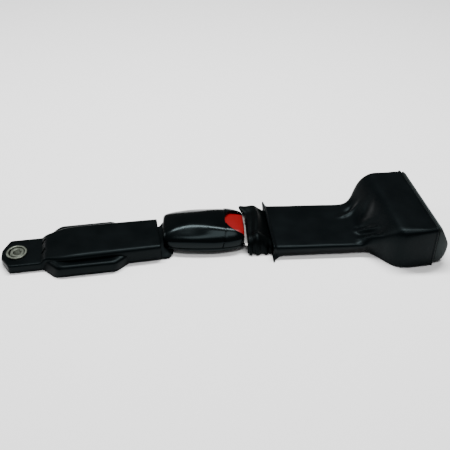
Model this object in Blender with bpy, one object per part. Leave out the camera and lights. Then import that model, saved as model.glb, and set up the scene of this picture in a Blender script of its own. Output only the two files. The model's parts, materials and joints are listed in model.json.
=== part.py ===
"""Two-point retractable seat belt, buckled up, built in metres with +Z up.

The belt line is the X axis of the belt frame, whose origin is the mouth of the boot's neck.
The anchor side and the retractor each have a frame of their own, turned a little to the line.
"""
from math import asin, cos, pi, radians, sin, tan

import bmesh
import bpy
from mathutils import Matrix, Vector

MM = 0.001

# Fits
GAP = 0.3 * MM
PIN_GAP = 0.3 * MM
SLIDE_GAP = 0.4 * MM

# Webbing
WEBBING_WIDTH = 47 * MM
WEBBING_THICK = 1.3 * MM
WEBBING_RUN_Z = 5.6 * MM
WEBBING_LOOP_RISE = 2.6 * MM
WEBBING_SEWN_LENGTH = 16 * MM

# Boot of the retractor
BOOT_WALL = 1.8 * MM
NECK_LENGTH = 80 * MM
NECK_WIDTH = 61 * MM
NECK_HEIGHT = 12.3 * MM
NECK_ROUND = 3.6 * MM
NECK_SIDE_OFFSET = 0.4 * MM
LIP_THICK = 1.3 * MM
LIP_REACH = 1.6 * MM
LIP_TURN = radians(3.3)
LIP_FAR_SPIKE = 2.4 * MM
LIP_NEAR_SPIKE = 8.0 * MM
FLARE_LENGTH = 24 * MM
FLARE_STEPS = 8
MECHANISM_SIDE = 22.5 * MM
BOX_HEIGHT = 39.3 * MM
BOX_ROUND = 4.0 * MM
BOX_LENGTH = 30.3 * MM
BOX_TURN = radians(4.43)
BOX_SIDE_OFFSET = -1.44 * MM
SEAM_SKEW = radians(2.8)
SEAM_TAPER = 1.2 * MM

# End cap
CAP_WALL = 2.0 * MM
CAP_BULGE = 13 * MM
CAP_FOOT = 3.4 * MM
CAP_NARROWING = 0.82
CAP_SPIGOT = 2.5 * MM
CAP_SPIGOT_WALL = 1.0 * MM
CAP_BULGE_Z = 17 * MM
CAP_SIDE_ROUND = 3.0 * MM

# Retractor
SPOOL_INSET = 22.5 * MM
ROLL_SIDE_ROOM = 3.5 * MM
FRAME_SHEET = 2.0 * MM
FRAME_FRONT = 18 * MM
FRAME_BACK = 11 * MM
FRAME_TOP = 31.8 * MM
ROLL_RADIUS = 13.3 * MM
HUB_RADIUS = 6.4 * MM
AXLE_RADIUS = 3.0 * MM
FLANGE_RADIUS = 14.8 * MM
FLANGE_THICK = 1.6 * MM
AXLE_STUB = 4.6 * MM
TIE_RADIUS = 1.9 * MM
TIE_X = -14.2 * MM
TIE_BELOW_TOP = 2.6 * MM
RATCHET_RADIUS = 11 * MM
RATCHET_THICK = 2.0 * MM
TOOTH_DEPTH = 2.4 * MM
TOOTH_COUNT = 12
TOOTH_FACE = radians(2)
PAWL_PIN_RADIUS = 1.5 * MM
PAWL_PIN_X = 8.0 * MM
PAWL_PIN_BELOW_AXLE = 12.6 * MM
PAWL_TIP_WIDTH = 1.6 * MM
PAWL_TIP_CLEAR = 0.8 * MM
PAWL_TIP_BELOW_AXLE = 3.05 * MM
PAWL_EYE_RADIUS = 2.6 * MM
PAWL_BACK = 1.2 * MM
CUP_ROOM = 3.3 * MM
CUP_WALL = 1.5 * MM
CUP_RADIUS = 15.8 * MM
SPRING_CUP_RADIUS = 14.0 * MM
SENSOR_X = -2.0 * MM
SENSOR_POST = 0.6 * MM
SENSOR_POST_WIDTH = 3.2 * MM
SENSOR_CUP_HEIGHT = 3.2 * MM
SENSOR_CUP_LENGTH = 10 * MM
SENSOR_SEAT = 1.2 * MM
SENSOR_LEVER_THICK = 1.0 * MM
SENSOR_LEVER_LENGTH = 15 * MM
SENSOR_LEVER_RISE = 2.0 * MM
SPRING_TURNS = 5
SPRING_STRIP = 0.5 * MM
ARBOR_RADIUS = 4.4 * MM

# Buckle
BUCKLE_END_X = -21.8 * MM
BUCKLE_LENGTH = 74 * MM
BUCKLE_WIDTH = 47.6 * MM
BUCKLE_HEIGHT = 24 * MM
BUCKLE_FLOOR_Z = 0.6 * MM
BUCKLE_SPLIT_Z = 8.0 * MM
BUCKLE_WALL = 2.0 * MM
CHANNEL_SHEET = 1.5 * MM
CHANNEL_BASE_Z = 6.0 * MM
CHANNEL_BASE_THICK = 2.0 * MM
CHANNEL_WIDTH = 34 * MM
CHANNEL_WALL_TOP = 12.9 * MM
BUCKLE_FOOT = 3.2 * MM
RIB_PLACE = 8.0 * MM
RIB_THICK = 1.5 * MM
STRAP_PIN_RADIUS = 2.2 * MM
STRAP_PIN_X = -84 * MM
STRAP_PIN_Z = 9.5 * MM
LATCH_PIN_RADIUS = 1.4 * MM
LATCH_PIN_X = -68 * MM
LATCH_PIN_Z = 12.9 * MM
LATCH_WIDTH = 16 * MM
LATCH_THICK = 1.8 * MM
LATCH_HOOK = 1.8 * MM
LATCH_REACH = 19.8 * MM
BUTTON_RADIUS = 15.2 * MM
BUTTON_CENTRE_INSET = 2.4 * MM
BUTTON_LENGTH = 21 * MM
BUTTON_TRAVEL = 4.0 * MM
BUTTON_LOW_Z = 12.0 * MM
BUTTON_SPRING_Y = 11.6 * MM
BUTTON_SPRING_SHUT = 6.0 * MM
COIL_RADIUS = 1.1 * MM
COIL_WIRE = 0.35 * MM
EJECTOR_LENGTH = 5.4 * MM
EJECTOR_WIDTH = 14 * MM
LATCH_SPRING_WIDTH = 4.4 * MM
LATCH_SPRING_STRIP = 0.5 * MM

# Tongue
TONGUE_THICK = 2.5 * MM
TONGUE_BLADE_WIDTH = 25 * MM
TONGUE_BLADE_LENGTH = 36.5 * MM
TONGUE_WIDTH = 44 * MM
TONGUE_SHOULDER = 3.0 * MM
TONGUE_SLOT = 6.0 * MM
TONGUE_SLOT_WIDTH = 35.2 * MM
TONGUE_BAR = 5.0 * MM

# Anchor side
SLEEVE_END_X = -99.3 * MM
SLEEVE_END_Y = -8.0 * MM
SLEEVE_TURN = radians(6.03)
SLEEVE_LENGTH = 138.5 * MM
SLEEVE_WALL = 1.6 * MM
BODY_END_WIDTH = 41 * MM
BODY_WIDTH = 44 * MM
BODY_HEIGHT = 16 * MM
NOSE_LENGTH = 35 * MM
NOSE_WIDTH = 35.5 * MM
NOSE_HEIGHT = 8.5 * MM
WING_WIDTH = 59 * MM
WING_HEIGHT = 11 * MM
WING_LENGTH = 76 * MM
WING_NOSE_SLOPE = 11 * MM
WING_BODY_SLOPE = 12.5 * MM
WING_BEVEL = 2.0 * MM
WING_RISE = 5.0 * MM
STEP_LENGTH = 32 * MM
POCKET_LENGTH = 5 * MM
POCKET_WIDTH = 2.5 * MM
POCKET_DEPTH = 1.6 * MM
POCKET_INSET = 1.8 * MM
POCKET_FAR_Y = 9.2 * MM
POCKET_NEAR_Y = -3.9 * MM
POCKET_SLANT = radians(52)
PLATE_THICK = 3.0 * MM
PLATE_Z = 3.5 * MM
PLATE_EYE_RADIUS = 13 * MM
PLATE_WIDTH = 53 * MM
PLATE_SLOT = 10 * MM
PLATE_SLOT_WIDTH = 44 * MM
PLATE_BAR = 8 * MM
PLATE_REACH = 45 * MM
PLATE_SHOULDER = 13 * MM
PLATE_CORNER = 4 * MM
EYE_INSET = 13.3 * MM
BUSH_FLANGE_RADIUS = 9.0 * MM
BUSH_BARREL_RADIUS = 7.0 * MM
BUSH_BORE_RADIUS = 5.2 * MM
BUSH_FLANGE_THICK = 0.9 * MM
WASHER_RADIUS = 6.0 * MM
WASHER_HOLE_RADIUS = 3.6 * MM
WASHER_THICK = 0.9 * MM
WASHER_OFFSET = 0.5 * MM
STRAP_WIDTH = 37 * MM
STRAP_GAP_WIDTH = 40 * MM
STRAP_LOOP_WIDTH = 30.4 * MM
STRAP_THICK = 1.4 * MM

ROUND_STEPS = 32

# Where things lie, worked out from the sizes above
FLARE_END_X = NECK_LENGTH + FLARE_LENGTH
RUN_TOP_Z = WEBBING_RUN_Z + WEBBING_THICK / 2
AXLE_Z = RUN_TOP_Z + GAP + ROLL_RADIUS
SPOOL_X = FLARE_END_X + SPOOL_INSET
SEAM_X = BOX_LENGTH - SPOOL_INSET
BOX_WIDTH = WEBBING_WIDTH + 2 * MECHANISM_SIDE
FRAME_INSIDE = WEBBING_WIDTH + 2 * ROLL_SIDE_ROOM
BUTTON_SPRING_LENGTH = BUTTON_TRAVEL + BUTTON_SPRING_SHUT
TONGUE_Z = CHANNEL_BASE_Z + CHANNEL_BASE_THICK + SLIDE_GAP
SLOT_START_X = BUCKLE_END_X + TONGUE_SHOULDER
BAR_START_X = SLOT_START_X + TONGUE_SLOT
TONGUE_TIP_X = BUCKLE_END_X - TONGUE_BLADE_LENGTH
HOOK_END_X = LATCH_PIN_X + LATCH_REACH
BUCKLE_START_X = BUCKLE_END_X - BUCKLE_LENGTH
STRAP_LOOP_RADIUS = STRAP_PIN_RADIUS + PIN_GAP + STRAP_THICK
EYE_X = EYE_INSET - SLEEVE_LENGTH
NOSE_END_X = NOSE_LENGTH - SLEEVE_LENGTH
WING_START_X = NOSE_END_X
WING_END_X = WING_START_X + WING_LENGTH
BAR_END_X = WING_START_X + PLATE_REACH
PLATE_MID_Z = PLATE_Z + PLATE_THICK / 2

for old in list(bpy.data.objects):
    bpy.data.objects.remove(old, do_unlink=True)


def material(name, colour, roughness, metallic=0.0):
    made = bpy.data.materials.new(name)
    made.use_nodes = True
    shader = made.node_tree.nodes["Principled BSDF"]
    shader.inputs["Base Color"].default_value = (*colour, 1.0)
    shader.inputs["Roughness"].default_value = roughness
    shader.inputs["Metallic"].default_value = metallic
    return made


SLEEVE_BLACK = material("sleeve black", (0.006, 0.009, 0.010), 0.45)
BUCKLE_BLACK = material("buckle black", (0.005, 0.007, 0.008), 0.2)
BOOT_BLACK = material("boot black", (0.006, 0.008, 0.009), 0.5)
CAP_BLACK = material("cap black", (0.014, 0.015, 0.016), 0.6)
WEBBING_BLACK = material("webbing black", (0.006, 0.008, 0.008), 0.8)
BUTTON_RED = material("button red", (0.55, 0.010, 0.006), 0.35)
STEEL = material("steel", (0.6, 0.6, 0.58), 0.3, 1.0)
ZINC = material("zinc", (0.42, 0.44, 0.41), 0.4, 1.0)
INNER_PLASTIC = material("inner plastic", (0.05, 0.05, 0.05), 0.5)
SPRING_STEEL = material("spring steel", (0.25, 0.25, 0.26), 0.35, 1.0)


def empty(name, parent=None, location=(0, 0, 0), turn=0.0):
    made = bpy.data.objects.new(name, None)
    bpy.context.collection.objects.link(made)
    made.parent = parent
    made.location = location
    made.rotation_euler = (0, 0, turn)
    return made


ROOT = empty("seat_belt")
BELT = empty("belt_frame", ROOT)
SLEEVE = empty("sleeve_frame", ROOT, (SLEEVE_END_X, SLEEVE_END_Y, 0), SLEEVE_TURN)
BOX = empty("box_frame", ROOT, (SPOOL_X, 0, 0), BOX_TURN)


def finish(name, bm, parent, finish_material, pivot=(0, 0, 0), smooth_angle=radians(35)):
    """Make an object of a mesh drawn in its parent's frame, with its origin at pivot."""
    bmesh.ops.remove_doubles(bm, verts=bm.verts, dist=1e-7)
    bmesh.ops.recalc_face_normals(bm, faces=bm.faces)
    bmesh.ops.translate(bm, vec=-Vector(pivot), verts=bm.verts)
    mesh = bpy.data.meshes.new(name)
    bm.to_mesh(mesh)
    bm.free()
    mesh.shade_smooth()
    mesh.set_sharp_from_angle(angle=smooth_angle)
    made = bpy.data.objects.new(name, mesh)
    bpy.context.collection.objects.link(made)
    made.parent = parent
    made.location = pivot
    if finish_material:
        mesh.materials.append(finish_material)
    return made


def skin(bm, rings, closed=False):
    """Join rings of equally many points by quads; closed also joins the last ring to the first."""
    made = [[bm.verts.new(point) for point in ring] for ring in rings]
    pairs = list(zip(made, made[1:]))
    if closed:
        pairs.append((made[-1], made[0]))
    for ring, following in pairs:
        count = len(ring)
        for i in range(count):
            j = (i + 1) % count
            bm.faces.new((ring[i], ring[j], following[j], following[i]))
    return made


def loft(rings):
    """A solid through the rings, closed by a face at each end."""
    bm = bmesh.new()
    made = skin(bm, rings)
    bm.faces.new(made[0])
    bm.faces.new(made[-1])
    return bm


def shell(rings):
    """A solid whose rings run out along one skin and back along the other."""
    bm = bmesh.new()
    skin(bm, rings, closed=True)
    return bm


def block(x, y, z):
    """A box between pairs of coordinates."""
    ring = [(y[0], z[0]), (y[1], z[0]), (y[1], z[1]), (y[0], z[1])]
    return loft([[(at, *point) for point in ring] for at in x])


def prism_z(outline, low, high):
    return loft([[(x, y, level) for x, y in outline] for level in (low, high)])


def prism_y(outline, low, high):
    return loft([[(x, level, z) for x, z in outline] for level in (low, high)])


def arc(centre, radius, start, stop, steps):
    """Points on an arc, with both its ends."""
    turns = [start + (stop - start) * i / steps for i in range(steps + 1)]
    return [(centre[0] + radius * cos(a), centre[1] + radius * sin(a)) for a in turns]


def circle(centre, radius, steps=ROUND_STEPS):
    return arc(centre, radius, 0, 2 * pi, steps)[:-1]


def rod_y(x, z, radius, low, high, steps=20):
    return prism_y(circle((x, z), radius, steps), low, high)


def turned_z(profile, centre, steps=ROUND_STEPS):
    """A ring turned round a vertical axis from a closed profile of (radius, height)."""
    rings = []
    for i in range(steps):
        a = 2 * pi * i / steps
        rings.append([(centre[0] + r * cos(a), centre[1] + r * sin(a), z) for r, z in profile])
    return shell(rings)


def turned_y(profile, x, z, steps=ROUND_STEPS):
    """A ring turned round an axis along Y from a closed profile of (radius, y)."""
    rings = []
    for i in range(steps):
        a = 2 * pi * i / steps
        rings.append([(x + r * cos(a), y, z + r * sin(a)) for r, y in profile])
    return shell(rings)


def combine(target, operation, bm):
    """Add or cut a mesh that is drawn in the target's own parent frame."""
    name = f"{target.name}_{operation.lower()}_{len(target.modifiers)}"
    tool = finish(name, bm, target.parent, None)
    tool.hide_render = True
    tool.display_type = "WIRE"
    change = target.modifiers.new(name, "BOOLEAN")
    change.operation = operation
    change.object = tool
    return tool


def cut(target, bm):
    return combine(target, "DIFFERENCE", bm)


def add(target, bm):
    return combine(target, "UNION", bm)


def ease(t):
    return t * t * (3 - 2 * t)


def rounded_ring(half_width, low, high, corner, steps=3):
    """A rounded rectangle in the YZ plane, as (y, z) points."""
    corner = min(corner, 0.49 * (high - low), 0.9 * half_width)
    y = half_width - corner
    points = arc((y, low + corner), corner, -pi / 2, 0, steps)
    points += arc((y, high - corner), corner, 0, pi / 2, steps)
    points += arc((-y, high - corner), corner, pi / 2, pi, steps)
    points += arc((-y, low + corner), corner, pi, 3 * pi / 2, steps)
    return points


def place_ring(points, x, y, turn=0.0):
    """Stand a ring of (y, z) points across the line at x, y, turned about the vertical."""
    return [(x - sin(turn) * side, y + cos(turn) * side, z) for side, z in points]


# Retractor boot

def boot_station(x):
    """Centre, turn, half width and height of the boot at a distance from the neck's mouth."""
    t = min(max((x - NECK_LENGTH) / FLARE_LENGTH, 0.0), 1.0)
    swell = ease(t)
    box_y = (x - SPOOL_X) * tan(BOX_TURN) + BOX_SIDE_OFFSET / cos(BOX_TURN)
    centre_y = NECK_SIDE_OFFSET + (box_y - NECK_SIDE_OFFSET) * swell
    turn = LIP_TURN + (BOX_TURN - LIP_TURN) * min(x / NECK_LENGTH, 1.0)
    half_width = (NECK_WIDTH + (BOX_WIDTH - NECK_WIDTH) * swell) / 2
    height = NECK_HEIGHT + (BOX_HEIGHT - NECK_HEIGHT) * swell
    corner = NECK_ROUND + (BOX_ROUND - NECK_ROUND) * swell
    return centre_y, turn, half_width, height, corner


def boot_ring(x, inset=0.0):
    y, turn, half_width, height, corner = boot_station(x)
    points = rounded_ring(half_width - inset, inset, height - inset, corner - 0.6 * inset)
    return place_ring(points, x, y, turn)


def lip_ring(x):
    """The flared rim of the mouth, with two corners that stand out like the moulding's."""
    points = []
    for side, z in rounded_ring(NECK_WIDTH / 2 + LIP_REACH, 0, NECK_HEIGHT + LIP_REACH, NECK_ROUND):
        far_top = max(0.0, (side / (NECK_WIDTH / 2)) ** 9) * (z / NECK_HEIGHT) ** 2
        near_low = max(0.0, (-side / (NECK_WIDTH / 2)) ** 9) * max(0.0, 1 - z / (NECK_HEIGHT / 2))
        side += LIP_FAR_SPIKE / 2 * min(far_top, 1.0) - LIP_NEAR_SPIKE * min(near_low, 1.0)
        points.append((side, z + LIP_FAR_SPIKE * min(far_top, 1.0)))
    return place_ring(points, x, NECK_SIDE_OFFSET, LIP_TURN)


def seam_ring(x, inset):
    """A ring of the box in the belt frame, at x in the box frame."""
    half_width = BOX_WIDTH / 2 - SEAM_TAPER - inset
    points = rounded_ring(half_width, inset, BOX_HEIGHT - inset, BOX_ROUND - 0.6 * inset)
    centre_x = SPOOL_X + x * cos(BOX_TURN) - BOX_SIDE_OFFSET * sin(BOX_TURN)
    centre_y = x * sin(BOX_TURN) + BOX_SIDE_OFFSET * cos(BOX_TURN)
    return place_ring(points, centre_x, centre_y, BOX_TURN + SEAM_SKEW)


flare_stations = [NECK_LENGTH + FLARE_LENGTH * i / FLARE_STEPS for i in range(FLARE_STEPS + 1)]
outer_rings = [lip_ring(0), lip_ring(LIP_THICK), boot_ring(LIP_THICK + LIP_REACH / 2)]
outer_rings += [boot_ring(x) for x in flare_stations]
outer_rings.append(seam_ring(SEAM_X, 0))
inner_rings = [seam_ring(SEAM_X, BOOT_WALL)]
inner_rings += [boot_ring(x, BOOT_WALL) for x in reversed(flare_stations)]
inner_rings.append(boot_ring(0, BOOT_WALL))
boot = finish("retractor_boot", shell(outer_rings + inner_rings), BELT, BOOT_BLACK)

# End cap


def cap_ring(x, inset, side_inset, low, high):
    corner = BOX_ROUND - 0.6 * inset
    points = rounded_ring(BOX_WIDTH / 2 - SEAM_TAPER - inset - side_inset, low, high, corner)
    return place_ring(points, x, BOX_SIDE_OFFSET, SEAM_SKEW)


def cap_bulge(inset):
    """Rings of the bulging back: it slants out from the top edge and rounds in to the floor."""
    rings = []
    steps = 6
    for i in range(steps + 1):
        out = sin(i / steps * pi / 2)
        drawn_in = 1 - cos(i / steps * pi / 2)
        low = inset + (CAP_BULGE_Z - inset) * drawn_in * CAP_NARROWING
        high = BOX_HEIGHT - inset - (BOX_HEIGHT - inset - CAP_BULGE_Z) * out * CAP_NARROWING
        reach = CAP_FOOT + (CAP_BULGE - CAP_FOOT) * out
        rings.append(cap_ring(SEAM_X + GAP + reach - inset, inset, CAP_SIDE_ROUND * drawn_in, low, high))
    return rings


spigot_inset = BOOT_WALL + GAP
spigot_inner = spigot_inset + CAP_SPIGOT_WALL
seam_face_x = SEAM_X + GAP
cap_rings = [
    cap_ring(SEAM_X - CAP_SPIGOT, spigot_inset, 0, spigot_inset, BOX_HEIGHT - spigot_inset),
    cap_ring(seam_face_x, spigot_inset, 0, spigot_inset, BOX_HEIGHT - spigot_inset),
    cap_ring(seam_face_x, 0, 0, 0, BOX_HEIGHT),
]
cap_rings += cap_bulge(0)
cap_inner = cap_bulge(CAP_WALL)
cap_rings += list(reversed(cap_inner))
cap_rings.append(cap_ring(SEAM_X - CAP_SPIGOT, spigot_inner, 0, spigot_inner,
                          BOX_HEIGHT - spigot_inner))


def open_cap(rings, split):
    """The cap: its outer skin ends in a face, then its inner skin starts with one."""
    bm = bmesh.new()
    outer = skin(bm, rings[:split])
    inner = skin(bm, rings[split:])
    bm.faces.new(outer[-1])
    bm.faces.new(inner[0])
    first = outer[0]
    last = inner[-1]
    count = len(first)
    for i in range(count):
        j = (i + 1) % count
        bm.faces.new((first[i], first[j], last[j], last[i]))
    return bm


end_cap = finish("end_cap", open_cap(cap_rings, 3 + len(cap_inner)), BOX, CAP_BLACK)
foot_room = BOX_WIDTH / 2 - SEAM_TAPER - spigot_inner - GAP
foot_turn = foot_room * tan(SEAM_SKEW)


def foot_slot(start, stop, high):
    """A slanted block over the cap's foot, along the skewed seam."""
    corners = [(at + side * foot_turn, BOX_SIDE_OFFSET - side * foot_room)
               for at, side in ((start, 1), (stop, 1), (stop, -1), (start, -1))]
    return prism_z(corners, CAP_WALL, high)


cut(end_cap, foot_slot(SEAM_X - 2 * CAP_SPIGOT, SEAM_X, 2 * BOX_ROUND))
cut(end_cap, foot_slot(SEAM_X - GAP, FRAME_BACK + CAP_WALL, 2 * CAP_WALL))

# Retractor frame, a folded U with holes for the axle, the tie bar and the pawl's pin

side_in = FRAME_INSIDE / 2
side_out = side_in + FRAME_SHEET
box_inside = BOX_WIDTH / 2 - BOOT_WALL
cup_depth = box_inside - BOX_SIDE_OFFSET - CUP_ROOM - side_out - GAP
spring_cup_depth = box_inside + BOX_SIDE_OFFSET - CUP_ROOM - side_out - GAP
spring_width = spring_cup_depth - 2 * CUP_WALL - 4 * GAP
frame_low = BOOT_WALL + GAP
pawl_pin_z = AXLE_Z - PAWL_PIN_BELOW_AXLE
tie_z = FRAME_TOP - TIE_BELOW_TOP
channel = [(-side_out, FRAME_TOP), (-side_out, frame_low), (side_out, frame_low), (side_out, FRAME_TOP),
           (side_in, FRAME_TOP), (side_in, frame_low + FRAME_SHEET), (-side_in, frame_low + FRAME_SHEET),
           (-side_in, FRAME_TOP)]
frame_rings = [[(x, y, z) for y, z in channel] for x in (-FRAME_FRONT, FRAME_BACK)]
frame = finish("retractor_frame", loft(frame_rings), BOX, STEEL)
cut(frame, rod_y(0, AXLE_Z, AXLE_RADIUS + PIN_GAP, -side_out - GAP, side_out + GAP))
cut(frame, rod_y(TIE_X, tie_z, TIE_RADIUS + PIN_GAP, -side_out - GAP, side_out + GAP))
cut(frame, rod_y(PAWL_PIN_X, pawl_pin_z, PAWL_PIN_RADIUS + PIN_GAP, -side_out - GAP, -side_in + GAP))
finish("tie_bar", rod_y(TIE_X, tie_z, TIE_RADIUS, -side_out, side_out), BOX, STEEL)

# Spool, axle, roll and ratchet wheel turn together

hub_bore = AXLE_RADIUS + GAP
flange_out = side_in - 2 * GAP
flange_in = flange_out - FLANGE_THICK
spool_profile = [
    (hub_bore, -flange_out), (FLANGE_RADIUS, -flange_out), (FLANGE_RADIUS, -flange_in),
    (HUB_RADIUS, -flange_in), (HUB_RADIUS, flange_in), (FLANGE_RADIUS, flange_in),
    (FLANGE_RADIUS, flange_out), (hub_bore, flange_out),
]
finish("spool", turned_y(spool_profile, 0, AXLE_Z), BOX, INNER_PLASTIC, (0, 0, AXLE_Z))
axle_reach = side_out + AXLE_STUB
axle_far = side_out + GAP + spring_cup_depth - CUP_WALL - 2 * GAP
finish("spool_axle", rod_y(0, AXLE_Z, AXLE_RADIUS, -axle_reach, axle_far), BOX, STEEL, (0, 0, AXLE_Z))
roll_profile = [
    (HUB_RADIUS + GAP, -WEBBING_WIDTH / 2), (ROLL_RADIUS, -WEBBING_WIDTH / 2),
    (ROLL_RADIUS, WEBBING_WIDTH / 2), (HUB_RADIUS + GAP, WEBBING_WIDTH / 2),
]
finish("webbing_roll", turned_y(roll_profile, 0, AXLE_Z, 40), BOX, WEBBING_BLACK, (0, 0, AXLE_Z))

tip_turn = -asin(PAWL_TIP_BELOW_AXLE / (RATCHET_RADIUS + PAWL_TIP_CLEAR))
tip_half_turn = PAWL_TIP_WIDTH / 2 / (RATCHET_RADIUS - TOOTH_DEPTH)
first_face = tip_turn + tip_half_turn + radians(1.5)


def ratchet_outline():
    """Sawteeth: a steep face, then a slope down to the next face."""
    points = []
    for i in range(TOOTH_COUNT):
        face = first_face + 2 * pi * i / TOOTH_COUNT
        for r, a in ((RATCHET_RADIUS - TOOTH_DEPTH, face), (RATCHET_RADIUS, face + TOOTH_FACE)):
            points.append((r * cos(a), AXLE_Z + r * sin(a)))
    return points


plane_near = -side_out - GAP
wheel = prism_y(ratchet_outline(), plane_near - RATCHET_THICK, plane_near)
ratchet = finish("ratchet_wheel", wheel, BOX, STEEL, (0, 0, AXLE_Z))
cut(ratchet, rod_y(0, AXLE_Z, hub_bore, plane_near - 2 * RATCHET_THICK, plane_near + GAP))

# Locking pawl, pivoted below the wheel, its tip just clear of a tooth gap


def pawl_outline():
    rest = RATCHET_RADIUS + PAWL_TIP_CLEAR
    half = PAWL_TIP_WIDTH / 2 / rest
    inner = rest + 0.9 * MM
    back = inner + PAWL_BACK
    points = arc((PAWL_PIN_X, pawl_pin_z), PAWL_EYE_RADIUS, radians(145), radians(350), 8)
    for r, a in ((back, tip_turn - 3.2 * half), (back - 0.5 * MM, tip_turn + half), (rest, tip_turn + half),
                 (rest, tip_turn - half), (inner, tip_turn - 2.2 * half), (inner, tip_turn - 4.4 * half)):
        points.append((r * cos(a), AXLE_Z + r * sin(a)))
    return points


pawl = finish("lock_pawl", prism_y(pawl_outline(), plane_near - RATCHET_THICK, plane_near), BOX, STEEL,
              (PAWL_PIN_X, 0, pawl_pin_z))
cut(pawl, rod_y(PAWL_PIN_X, pawl_pin_z, PAWL_PIN_RADIUS + PIN_GAP, plane_near - 2 * RATCHET_THICK,
                plane_near + GAP, 14))
finish("pawl_pin", rod_y(PAWL_PIN_X, pawl_pin_z, PAWL_PIN_RADIUS, plane_near - RATCHET_THICK - MM,
                         -side_in - GAP, 14), BOX, STEEL)

# Mechanism cover, a cup over the locking side

cup_low = frame_low + GAP
cup_near = plane_near - cup_depth
cup_heel = (PAWL_PIN_X + PAWL_EYE_RADIUS + GAP + CUP_WALL, pawl_pin_z)
cup_outline = [(-FRAME_FRONT, cup_low), (FRAME_BACK - GAP, cup_low), (cup_heel[0] + MM, cup_heel[1])]
cup_outline += arc((0, AXLE_Z), CUP_RADIUS, radians(-24), radians(90), 12)
cup_outline.append((-FRAME_FRONT, AXLE_Z + CUP_RADIUS))
cup_inside = [(-FRAME_FRONT + CUP_WALL, cup_low + CUP_WALL),
              (FRAME_BACK - GAP - CUP_WALL, cup_low + CUP_WALL), (cup_heel[0] + MM - CUP_WALL, cup_heel[1])]
cup_inside += arc((0, AXLE_Z), CUP_RADIUS - CUP_WALL, radians(-24), radians(90), 12)
cup_inside.append((-FRAME_FRONT + CUP_WALL, AXLE_Z + CUP_RADIUS - CUP_WALL))
mechanism = finish("mechanism_cover", prism_y(cup_outline, cup_near, plane_near), BOX, INNER_PLASTIC)
cut(mechanism, prism_y(cup_inside, cup_near + CUP_WALL, plane_near + CUP_WALL))

# Crash sensor: a ball in a cup, and the lever that lies on it

sensor_reach = (cup_depth - CUP_WALL - RATCHET_THICK - 4 * GAP) / 2
ball_radius = sensor_reach - GAP
ball_y = cup_near + CUP_WALL + GAP + sensor_reach
ball_x = SENSOR_X
sensor_low = cup_low + CUP_WALL + GAP
ball_z = sensor_low + SENSOR_SEAT + ball_radius
sensor_half = SENSOR_CUP_LENGTH / 2
lever_z = ball_z + ball_radius + GAP
lever_pin_x = ball_x - sensor_half + MM
lever_half = SENSOR_POST_WIDTH / 2
cup_depth_y = sensor_reach - SENSOR_POST
seat = block((ball_x - sensor_half, ball_x + sensor_half), (ball_y - cup_depth_y, ball_y + cup_depth_y),
             (sensor_low, sensor_low + SENSOR_CUP_HEIGHT))
sensor_cup = finish("sensor_cup", seat, BOX, INNER_PLASTIC)


def ball_mesh(radius, centre):
    bm = bmesh.new()
    bmesh.ops.create_uvsphere(bm, u_segments=16, v_segments=10, radius=radius)
    bmesh.ops.translate(bm, vec=centre, verts=bm.verts)
    return bm


cut(sensor_cup, ball_mesh(ball_radius + GAP, (ball_x, ball_y, ball_z)))
for side in (-1, 1):
    post = block((lever_pin_x - lever_half, lever_pin_x + lever_half),
                 (ball_y + side * cup_depth_y - SENSOR_POST, ball_y + side * cup_depth_y + SENSOR_POST),
                 (sensor_low + MM, lever_z + SENSOR_LEVER_THICK + MM))
    add(sensor_cup, post)
finish("sensor_ball", ball_mesh(ball_radius, (ball_x, ball_y, ball_z)), BOX, STEEL)
lever_tip_x = lever_pin_x + SENSOR_LEVER_LENGTH
lever_top = lever_z + SENSOR_LEVER_THICK
lever_profile = [
    (lever_pin_x - MM, lever_z), (lever_tip_x - SENSOR_LEVER_RISE, lever_z),
    (lever_tip_x, lever_z + SENSOR_LEVER_RISE), (lever_tip_x - MM, lever_top + SENSOR_LEVER_RISE),
    (lever_tip_x - MM - SENSOR_LEVER_RISE, lever_top), (lever_pin_x - MM, lever_top),
]
lever_side = cup_depth_y - SENSOR_POST - GAP
finish("sensor_lever", prism_y(lever_profile, ball_y - lever_side, ball_y + lever_side), BOX, INNER_PLASTIC,
       (lever_pin_x, ball_y, lever_z))

# Rewind spring, its cup and its arbor on the far side

plane_far = side_out + GAP
spring_cup_inside = SPRING_CUP_RADIUS - CUP_WALL
spring_cup_far = plane_far + spring_cup_depth
spring_cup_profile = [
    (AXLE_RADIUS + 2 * MM, plane_far), (SPRING_CUP_RADIUS, plane_far), (SPRING_CUP_RADIUS, spring_cup_far),
    (GAP, spring_cup_far), (GAP, spring_cup_far - CUP_WALL), (spring_cup_inside, spring_cup_far - CUP_WALL),
    (spring_cup_inside, plane_far + CUP_WALL), (AXLE_RADIUS + 2 * MM, plane_far + CUP_WALL),
]
finish("spring_cover", turned_y(spring_cup_profile, 0, AXLE_Z), BOX, INNER_PLASTIC)
spring_low = plane_far + CUP_WALL + GAP
arbor_profile = [
    (hub_bore, spring_low), (ARBOR_RADIUS, spring_low),
    (ARBOR_RADIUS, spring_low + spring_width), (hub_bore, spring_low + spring_width),
]
finish("spring_arbor", turned_y(arbor_profile, 0, AXLE_Z, 24), BOX, INNER_PLASTIC, (0, 0, AXLE_Z))


def spiral_strip(inner, outer, thick, turns, steps_per_turn=18):
    """An open spiral of strip as one outline of (x, z) points."""
    steps = turns * steps_per_turn
    front = []
    back = []
    for i in range(steps + 1):
        a = 2 * pi * i / steps_per_turn
        r = inner + (outer - inner) * i / steps
        front.append((r * cos(a), AXLE_Z + r * sin(a)))
        back.append(((r + thick) * cos(a), AXLE_Z + (r + thick) * sin(a)))
    return front, back


def strip_solid(front, back, low, high):
    """A strip between two lines of (x, z) points, from low to high along Y."""
    rings = []
    for (ax, az), (bx, bz) in zip(front, back):
        rings.append([(ax, low, az), (bx, low, bz), (bx, high, bz), (ax, high, az)])
    return loft(rings)


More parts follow.
